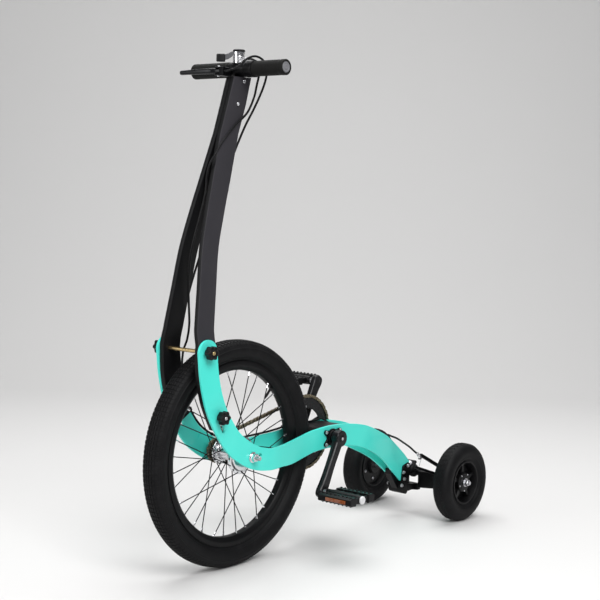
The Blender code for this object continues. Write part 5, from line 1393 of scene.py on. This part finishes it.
def make_bar():
    """The bar, its clamp with two rooms cut, the collar, the screws and the grips."""
    y, z = BAR_CENTRE
    centre = at(0, y, z)
    tube = mm((-129, 10.5), (-128.5, 11.1), (128.5, 11.1), (129, 10.5))
    as_object("handlebar_tube_skin", [turned(tube, centre, facets=64)], "handlebar", "black_metal",
              "handlebar_tube", crease=30)
    clamp = turned(rounded(mm((-12.5, 11.3), (-12.5, 17), (24, 17), (24, 11.3)), 0.0012), centre,
                   facets=96)
    piece = as_object("stem_clamp_skin", [clamp], "handlebar", "coat", "stem_clamp", crease=30)
    for half, low, high in ((0.013, 1.04, 1.0893), (0.016, 1.1185, 1.16)):
        room = shifted_pairs(box_outline(-half, half, y - 0.05, y + 0.05))
        carve(piece, [slab(room, low, high, 0.00001, "Z")])
    collar = turned(rounded(mm((24.6, 11.3), (24.6, 18.2), (47, 18.6), (47, 17)), 0.0014), centre,
                    facets=96, ring=True)
    as_object("grip_collar", [collar], "handlebar", "coat", crease=30)
    screws = []
    for dy in (-0.0125, 0.0125):
        screws.append(bolt(at(0.019, y + dy, z + 0.009), (0, dy * 20, 1), 0.0026, 0.0022))
    as_object("stem_clamp_screws", screws, "handlebar", "steel", crease=30)
    for side, sign in SIDES:
        profile = ribbed_grip(sign)
        grip = turned(np.vstack([[(sign * 0.026, 0.0114)], profile, [(sign * 0.1352, 0.0128)],
                                 [(sign * 0.13, 0.0124)], [(sign * 0.1293, 0.0114)]]), centre,
                      facets=96, ring=True)
        as_object(f"{side}_grip_skin", [grip], "handlebar", "grip", f"{side}_grip")
        plug = mm((129.2, 11.8), (134.5, 11.8), (135.4, 10.8), (135.6, 8.6), (134.6, 8),
                  (134.6, 6.2), (135.6, 5.6), (135.7, 2.4), (135, 1.8))
        cap = turned(sided(sign, rounded(plug, 0.0005, 3)), centre, facets=64)
        as_object(f"{side}_grip_plug", [cap], "handlebar", "grey_plastic", crease=30)


def make_shifter():
    """The turned body with six ridges, its cap, and the lever with a lofted neck."""
    sx, sy, bottom = 0.0, 0.008, 1.1188
    base = at(sx, sy, bottom)
    profile = [(0.0, 0.0128), (0.0006, 0.0132)]
    for i in range(6):
        profile += [(0.0022 + i * 0.0022, 0.0132), (0.0026 + i * 0.0022, 0.0129),
                    (0.0032 + i * 0.0022, 0.0129), (0.0036 + i * 0.0022, 0.0132)]
    profile += [(0.0152, 0.013), (0.0156, 0.012), (0.02, 0.012), (0.02, 0.0061), (0.0255, 0.0061),
                (0.0255, 0.0122)]
    body = turned(profile, base, (0, 0, 1), 96)
    as_object("shifter_body_skin", [body], "handlebar", "chrome", "shifter_body", crease=30)
    cap = rounded(mm((25.6, 11), (25.6, 13.2), (27.2, 13.7), (29, 13.2), (30.5, 10.5), (31.2, 3)),
                  0.0012)
    as_object("shifter_cap", [turned(cap, base, (0, 0, 1), 64)], "handlebar", "plastic", crease=40)
    collar_profile = mm((20.3, 6.3), (20.3, 12.4), (20.9, 13), (24.6, 13), (25.2, 12.4),
                        (25.2, 6.3))
    collar = turned(collar_profile, base, (0, 0, 1), 64, ring=True)
    way = np.array([-0.013, -0.029])
    side = np.array([0.0038, -0.0017])
    sections = []
    for share, low, high in ((0.0, 0.0204, 0.0251), (0.2, 0.014, 0.0249), (0.5, 0.0075, 0.02),
                             (0.85, 0.005, 0.017), (1.0, 0.005, 0.017)):
        spot = np.array([sx - 0.007, sy - 0.008 + AXLE_Y]) + way * share
        near, far = spot - side, spot + side
        sections.append([(*near, bottom + low), (*far, bottom + low), (*far, bottom + high),
                         (*near, bottom + high)])
    neck = loft(sections)
    as_object("shift_lever_skin", [collar, neck], "shift_lever_body", "chrome", "shift_lever")
    tip = rounded_loop(mm((-10, -25), (-15.5, -18.5), (-27, -26), (-30, -32), (-26, -36),
                          (-20, -35)), 0.0022)
    thumb = slab(shifted_pairs(tip), bottom + 0.002, bottom + 0.019, 0.0016, "Z")
    as_object("shift_lever_tip", [thumb], "shift_lever_body", "plastic")


def shifted_pairs(pairs):
    """Pairs of a place across and a distance behind the front axle, moved like points."""
    return np.array(pairs, float) + np.array([0.0, AXLE_Y])


def make_brake_lever():
    """The band, the perch with its room cut, and the lever lofted between two curves."""
    y, z = BAR_CENTRE
    px, py = -0.02, -0.034
    low, high = 1.0935, 1.1065
    band = turned(rounded_loop(mm((-24.5, 11.4), (-24.5, 16.5), (-13.2, 16.5), (-13.2, 11.4)),
                               0.0012), at(0, y, z), facets=96, ring=True)
    as_object("brake_lever_clamp", [band], "handlebar", "coat", "brake_lever_bracket", crease=30)
    arm = rounded_loop([(-0.0132, 0.0), (-0.0245, 0.0), (-0.027, py - 0.006),
                        (-0.024, py - 0.0095), (-0.014, py - 0.009), (-0.005, py - 0.004),
                        (-0.005, py + 0.006), (-0.0132, py + 0.01)], 0.0022)
    perch = slab(shifted_pairs(arm), low - 0.0035, high + 0.0035, 0.0012, "Z")
    body = as_object("brake_lever_perch", [perch], "handlebar", "coat", "brake_lever_bracket")
    room = box_outline(-0.06, -0.012, py - 0.02, py + 0.009)
    cuts = [slab(shifted_pairs(room), low - 0.0003, high + 0.0003, 0.00001, "Z")]
    bore = turned(mm((-30, 11.2), (-10, 11.2)), at(0, y, z), facets=64)
    carve(body, cuts)
    carve(body, [bore])
    screw = [bolt(at(px, py, high + 0.0034), (0, 0, 1), 0.0034, 0.0018),
             turned(mm((0, 3), (1.6, 3)), at(px, py, low - 0.0034), (0, 0, -1), 6)]
    as_object("brake_lever_screw", screw, "handlebar", "chrome", crease=30)
    upper = spline([(-0.014, py + 0.0048), (-0.026, py + 0.0046), (-0.04, -0.0388),
                    (-0.07, -0.0408), (-0.1, -0.0408), (-0.124, -0.0402)], 46)
    lower = spline([(-0.014, py - 0.0048), (-0.025, py - 0.0066), (-0.038, -0.0472),
                    (-0.07, -0.0487), (-0.1, -0.0486), (-0.124, -0.0484)], 46)
    rings = []
    for near, far in zip(upper, lower):
        share = np.clip((near[0] + 0.03) / -0.094, 0, 1)
        top, bottom = high - 0.0022 * share, low + 0.001 * share
        centre = (near + far) / 2
        ring = []
        for u, w in ((-1, 0.25), (-0.94, 0.55), (-0.7, 0.85), (-0.3, 1.0), (0.3, 1.0),
                     (0.7, 0.85), (0.94, 0.55), (1, 0.25), (1, -0.25), (0.94, -0.55),
                     (0.7, -0.85), (0.3, -1.0), (-0.3, -1.0), (-0.7, -0.85),
                     (-0.94, -0.55), (-1, -0.25)):
            p = centre + (far - near) / 2 * u
            ring.append((p[0], p[1] + AXLE_Y, (top + bottom) / 2 + (top - bottom) / 2 * w))
        rings.append(ring)
    end = np.array(rings[-1])
    middle = end.mean(axis=0)
    for pull, scale in ((0.0022, 0.86), (0.0034, 0.6), (0.0039, 0.25)):
        rings.append((middle + (end - middle) * scale + np.array([-pull, 0, 0])).tolist())
    as_object("brake_lever_skin", [loft(rings)], "brake_lever_body", "black_metal", "brake_lever",
              crease=40)


# Cables

SHIFT_CABLE = mm((0, 24.5, 1129), (12, 38, 1130), (24, 46, 1118), (24, 48, 1098), (19, 46, 1072),
                 (16.5, 40, 1045), (15.6, 20, 1012), (15.3, -15, 985), (17.8, -56, 950),
                 (18, -81, 920), (8, -89, 895), (0, -88, 870), (0, -92, 835), (-2, -106, 785),
                 (-6, -118, 740), (-12, -124, 695), (-18, -122, 645), (-26, -112, 595),
                 (-36, -100, 550), (-52, -90, 515), (-72, -83, 480), (-88, -68, 420),
                 (-98, -42, 355), (-103, -15, 305), (-104, -2, 272))
BRAKE_CABLE_TOP = mm((-4.5, -33, 1100), (8, -32, 1101), (26, -23, 1108), (38, -8, 1126),
                     (44, 14, 1133), (48, 36, 1124), (48, 46, 1102), (42, 47, 1078),
                     (30, 45, 1050), (15, 40, 1018), (0, 32, 985), (-12, 18, 940), (-20, -8, 875),
                     (-28, -34, 800), (-36, -60, 720), (-44, -86, 640), (-51, -106, 560),
                     (-59, -108, 500), (-62.5, -105, 450))
BRAKE_CABLE_TAIL = mm((-34.5, 268, 288), (-31, 288, 287), (-30.5, 306, 284.8), (-30.5, 335, 285),
                      (-30.5, 356, 285.6), (-30, 372, 279.6), (-28.5, 388, 269), (-26.5, 412, 254),
                      (-22, 450, 234), (-16.5, 495, 218), (-12.5, 530, 211), (-9.5, 565, 211),
                      (-5, 594.7, 217.1), (12, 589.9, 217.2), (36, 583.2, 215.2),
                      (62, 573.5, 210.1), (84, 572.2, 201.3), (94, 577.3, 191.8))


def plate_edge_route(first, last):
    """Points that rest on the right plate's upper edge, from first to last behind the axle."""
    stations = spline(PLATE_PATH, 60)
    directions = np.gradient(stations[:, :2], axis=0)
    directions /= np.linalg.norm(directions, axis=1, keepdims=True)
    lift = stations[:, 2:] / 2 + 0.004
    edge = stations[:, :2] + np.stack([-directions[:, 1], directions[:, 0]], axis=1) * lift
    keep = (edge[:, 0] >= first) & (edge[:, 0] <= last)
    edge = edge[keep][::3]
    return np.column_stack([-plate_inner(edge[:, 0]) - 0.003, edge])


def cable_run(name, points, node, start, end):
    """One stretch of a cable: a tube along its points, in place of a node, riding on no body."""
    piece = free_piece(name, [swept(points, 0.0025, 14)], "plastic", node)
    at(*start)
    at(*end)
    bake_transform(piece)


def ferrule(point, way, body, name):
    """A short plated sleeve at a cable's end."""
    profile = mm((-0.5, 2.6), (-0.5, 3.4), (7, 3.4), (7.8, 2.7))
    surface = turned(profile, point, way, 20)
    return as_object(name, [surface], body, "steel")


def make_cables():
    """Both cables as tubes along smooth routes, with ferrules, inner wire and clips."""
    shift = shifted(spline(SHIFT_CABLE, int(300 * FINE)))
    cable_run("shift_cable_skin", shift, "shift_cable", (-0.098, -0.075, 0.4),
              (-0.06, -0.12, 0.62))
    middle, way = np.array(TAB_CENTRE), np.array(ADJUSTER_WAY)
    end = middle + way * 0.0132
    route = np.vstack([BRAKE_CABLE_TOP, plate_edge_route(-0.1, 0.24), BRAKE_CABLE_TAIL, end])
    whole = shifted(spline(route, int(620 * FINE)))
    split = int(np.argmax((whole[:, 1] > 0.43 + AXLE_Y) & (whole[:, 2] < 0.3)))
    cable_run("brake_cable_front", whole[:split + 1], "brake_cable",
              (-0.062, -0.11, 0.44), (-0.05, -0.1, 0.64))
    cable_run("brake_cable_rear", whole[split:], "brake_cable", (-0.0125, 0.53, 0.211),
              (0.094, 0.5773, 0.1918))
    ferrule(shift[0], shift[3] - shift[0], "handlebar", "shift_cable_ferrule")
    ferrule(at(*(end - way * 0.001)), way, "truck", "brake_cable_ferrule")
    wire = spline([middle - way * 0.003, middle - way * 0.006 + [0, 0, -0.001],
                   (0.0975, 0.601, 0.16), (0.096, 0.599, 0.15)], 24)
    wire = free_piece("brake_inner_wire", [swept(shifted(wire), 0.00075, 10)], "steel")
    at(*(middle - way * 0.006))
    at(0.0975, 0.601, 0.16)
    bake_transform(wire)
    clips = []
    edge = plate_edge_route(-0.1, 0.24)
    for index in (2, 4):
        point, after = edge[index], edge[index + 1]
        clip = turned(rounded_loop(mm((-2.2, 2.7), (-2.2, 3.6), (2.2, 3.6), (2.2, 2.7)), 0.0004),
                      at(*point), after - point, 24, ring=True)
        clips.append(clip)
    as_object("cable_clips", clips, "frame", "plastic")


# Stage, lights and camera

def make_floor():
    """One sheet: a flat floor that curves up into the backdrop, along the camera's view."""
    away = Vector((VIEW_WAY[0], VIEW_WAY[1], 0)).normalized()
    side = Vector((away.y, -away.x, 0))
    t = np.linspace(0, 1, 25)
    run = np.concatenate([[-6.0, 2.2], 2.2 + 1.8 * np.sin(t * np.pi / 2), [4.0]])
    rise = np.concatenate([[0, 0], 1.8 * (1 - np.cos(t * np.pi / 2)), [7.0]])
    points = []
    for r, z in zip(run, rise):
        for s in (-9.0, 9.0):
            p = away * float(r) + side * s
            points.append((p.x, p.y, float(z)))
    faces = [(2 * i, 2 * i + 1, 2 * i + 3, 2 * i + 2) for i in range(len(run) - 1)]
    mesh = bpy.data.meshes.new("studio_sweep")
    mesh.from_pydata(points, [], faces)
    mesh.shade_smooth()
    floor = link_object("studio_sweep", mesh)
    look = Look("studio_paper", (0.66, 0.655, 0.65), 0.65)
    look.set("Roughness", 0.6 + look.noise(3.0) * 0.1)
    mesh.materials.append(look.material)


def add_area(name, place, target, size, power, tint=(1, 1, 1)):
    """A rectangular lamp that faces a target."""
    lamp = bpy.data.lights.new(name, "AREA")
    lamp.shape = "RECTANGLE"
    lamp.size, lamp.size_y = size
    lamp.energy = power
    lamp.color = tint
    holder = link_object(name, lamp)
    holder.location = place
    way = Vector(target) - Vector(place)
    holder.rotation_euler = way.to_track_quat("-Z", "Y").to_euler()


def make_lights():
    """Three soft lamps and an even light from all around."""
    settings = bpy.context.scene.bicycle
    add_area("key_light", (2.6, -1.6, 2.9), (0, 0, 0.5), (2.2, 2.2), settings.key_power)
    add_area("front_fill", (-1.4, -3.4, 1.8), (0, 0, 0.5), (2.6, 1.8), settings.fill_power)
    add_area("top_light", (-0.4, 0.6, 3.4), (0, 0, 0.3), (3.0, 3.0), settings.top_power)
    world = bpy.data.worlds.new("studio_air")
    bpy.context.scene.world = world
    world.use_nodes = True
    world.node_tree.nodes["Background"].inputs["Color"].default_value = (0.8, 0.81, 0.83, 1)
    world.node_tree.nodes["Background"].inputs["Strength"].default_value = settings.air


def make_camera():
    """The camera at the photograph's viewing angle."""
    data = bpy.data.cameras.new("product_camera")
    data.lens = 80.09
    data.sensor_width = 36.0
    camera = link_object("product_camera", data)
    camera.location = (2.01167, -2.43781, 0.85977)
    look = Vector(VIEW_WAY).normalized()
    turn = look.to_track_quat("-Z", "Y").to_matrix()
    roll = Matrix.Rotation(CAMERA_ROLL, 3, "Z")
    camera.rotation_euler = (turn @ roll).to_euler()
    scene = bpy.context.scene
    scene.camera = camera
    scene.view_settings.view_transform = "Standard"


# Add-on: settings, operators and panel

def length(label, words, value):
    """A size that a user may change, in metres."""
    return bpy.props.FloatProperty(name=label, description=words, default=value, min=0.0001,
                                   precision=5, subtype="DISTANCE", unit="LENGTH")


def tone(label, words, value):
    """A colour that a user may change."""
    return bpy.props.FloatVectorProperty(name=label, description=words, default=value, min=0.0,
                                         max=1.0, subtype="COLOR")


class BicycleSettings(bpy.types.PropertyGroup):
    """Sizes, colours and lights that a user may change before the pieces are built"""

    spoke_diameter: length("Spoke diameter", "Thickness of the front wheel's spokes", 0.0023)
    tread_height: length("Tread height", "Height of the front tyre's blocks", 0.0018)
    rib_depth: length("Grip rib depth", "Depth of the rings around the grips", 0.00032)
    paint_first: tone("Paint, darker", "Darker tone of the side plates", (0.058, 0.69, 0.59))
    paint_second: tone("Paint, lighter", "Lighter tone of the side plates", (0.076, 0.715, 0.615))
    post_first: tone("Posts, darker", "Darker tone of the posts' faces", (0.024, 0.023, 0.027))
    post_second: tone("Posts, lighter", "Lighter tone of the posts' faces", (0.034, 0.032, 0.037))
    rubber_first: tone("Tyres, darker", "Darker tone of the rubber", (0.0035, 0.0035, 0.004))
    rubber_second: tone("Tyres, lighter", "Lighter tone of the rubber", (0.007, 0.0068, 0.0075))
    chain_first: tone("Chain, bare", "Tone of the chain's bare steel", (0.3, 0.255, 0.175))
    chain_second: tone("Chain, oiled", "Tone of the oil on the chain", (0.045, 0.035, 0.025))
    reflector_first: tone("Reflector, lighter", "Lighter tone of the lens", (0.3, 0.075, 0.008))
    reflector_second: tone("Reflector, darker", "Darker tone of the lens", (0.15, 0.026, 0.003))
    key_power: bpy.props.FloatProperty(
        name="Key light", description="Power of the main soft light", default=142.0, min=0.0,
        subtype="POWER", unit="POWER")
    fill_power: bpy.props.FloatProperty(
        name="Fill light", description="Power of the soft light from the front left",
        default=50.0, min=0.0, subtype="POWER", unit="POWER")
    top_power: bpy.props.FloatProperty(
        name="Top light", description="Power of the wide soft light overhead", default=110.0,
        min=0.0, subtype="POWER", unit="POWER")
    air: bpy.props.FloatProperty(
        name="Surrounding light", description="Strength of the even light from all around",
        default=0.22, min=0.0, subtype="FACTOR")


class Builder(bpy.types.Operator):
    """Shared steps of every operator that adds one group of pieces."""

    bl_options = {"REGISTER", "UNDO"}
    makers = ()

    def execute(self, context):
        if not LOOKS:
            LOOKS.update({row[0]: make_look(*row) for row in GRAINY})
        for maker in self.makers:
            maker()
        return {"FINISHED"}


class BICYCLE_OT_frame(Builder):
    """Build the side plates, the bottom bracket and the truck bracket"""

    bl_idname = "bicycle.frame"
    bl_label = "Frame"
    makers = (make_plates, make_bottom_bracket, make_bracket, make_kingpin)


class BICYCLE_OT_front_wheel(Builder):
    """Build the front tyre with its tread, the rim, the spokes and the hub"""

    bl_idname = "bicycle.front_wheel"
    bl_label = "Front wheel"
    makers = (make_front_tyre, make_front_rim, make_spokes, make_front_hub)


class BICYCLE_OT_drive(Builder):
    """Build the sprocket, the chain, the chainring, the cranks and the pedals"""

    bl_idname = "bicycle.drive"
    bl_label = "Drive"
    makers = (make_sprocket, make_chain, make_chainring, make_cranks)


class BICYCLE_OT_rear_truck(Builder):
    """Build the leaning hanger, its brake and the two rear wheels"""

    bl_idname = "bicycle.rear_truck"
    bl_label = "Rear truck"
    makers = (make_axle_beam, make_rear_axles, make_brake, make_rear_wheels)


class BICYCLE_OT_handlebar(Builder):
    """Build the posts, the knobs, the handlebar with its grips and the two levers"""

    bl_idname = "bicycle.handlebar"
    bl_label = "Handlebar"
    makers = (make_posts, make_fold_parts, make_bar, make_shifter, make_brake_lever)


class BICYCLE_OT_cables(Builder):
    """Build the shift cable and the brake cable"""

    bl_idname = "bicycle.cables"
    bl_label = "Cables"
    makers = (make_cables,)


class BICYCLE_OT_stage(Builder):
    """Build the floor sweep, the lights and the camera"""

    bl_idname = "bicycle.stage"
    bl_label = "Stage"
    makers = (make_floor, make_lights, make_camera)


class BICYCLE_PT_panel(bpy.types.Panel):
    """The settings and a button for every group of pieces, in the 3D view's sidebar"""

    bl_label = "Bicycle"
    bl_idname = "BICYCLE_PT_panel"
    bl_space_type = "VIEW_3D"
    bl_region_type = "UI"
    bl_category = "Bicycle"

    def draw(self, context):
        column = self.layout.column()
        for name in BicycleSettings.__annotations__:
            column.prop(context.scene.bicycle, name)
        for step in STEPS:
            column.operator(step.bl_idname)


STEPS = (BICYCLE_OT_frame, BICYCLE_OT_front_wheel, BICYCLE_OT_drive, BICYCLE_OT_rear_truck,
         BICYCLE_OT_handlebar, BICYCLE_OT_cables, BICYCLE_OT_stage)
CLASSES = (BicycleSettings, *STEPS, BICYCLE_PT_panel)


def register():
    """Adds the classes and the settings to Blender."""
    for one in CLASSES:
        bpy.utils.register_class(one)
    bpy.types.Scene.bicycle = bpy.props.PointerProperty(type=BicycleSettings)


def unregister():
    """Takes the classes and the settings out again."""
    del bpy.types.Scene.bicycle
    for one in reversed(CLASSES):
        bpy.utils.unregister_class(one)


def main():
    """Builds every group of pieces."""
    register()
    for step in STEPS:
        group, name = step.bl_idname.split(".")
        if getattr(getattr(bpy.ops, group), name)() != {"FINISHED"}:
            raise RuntimeError(f"{step.bl_label} wasn't finished")


if __name__ == "__main__":
    main()
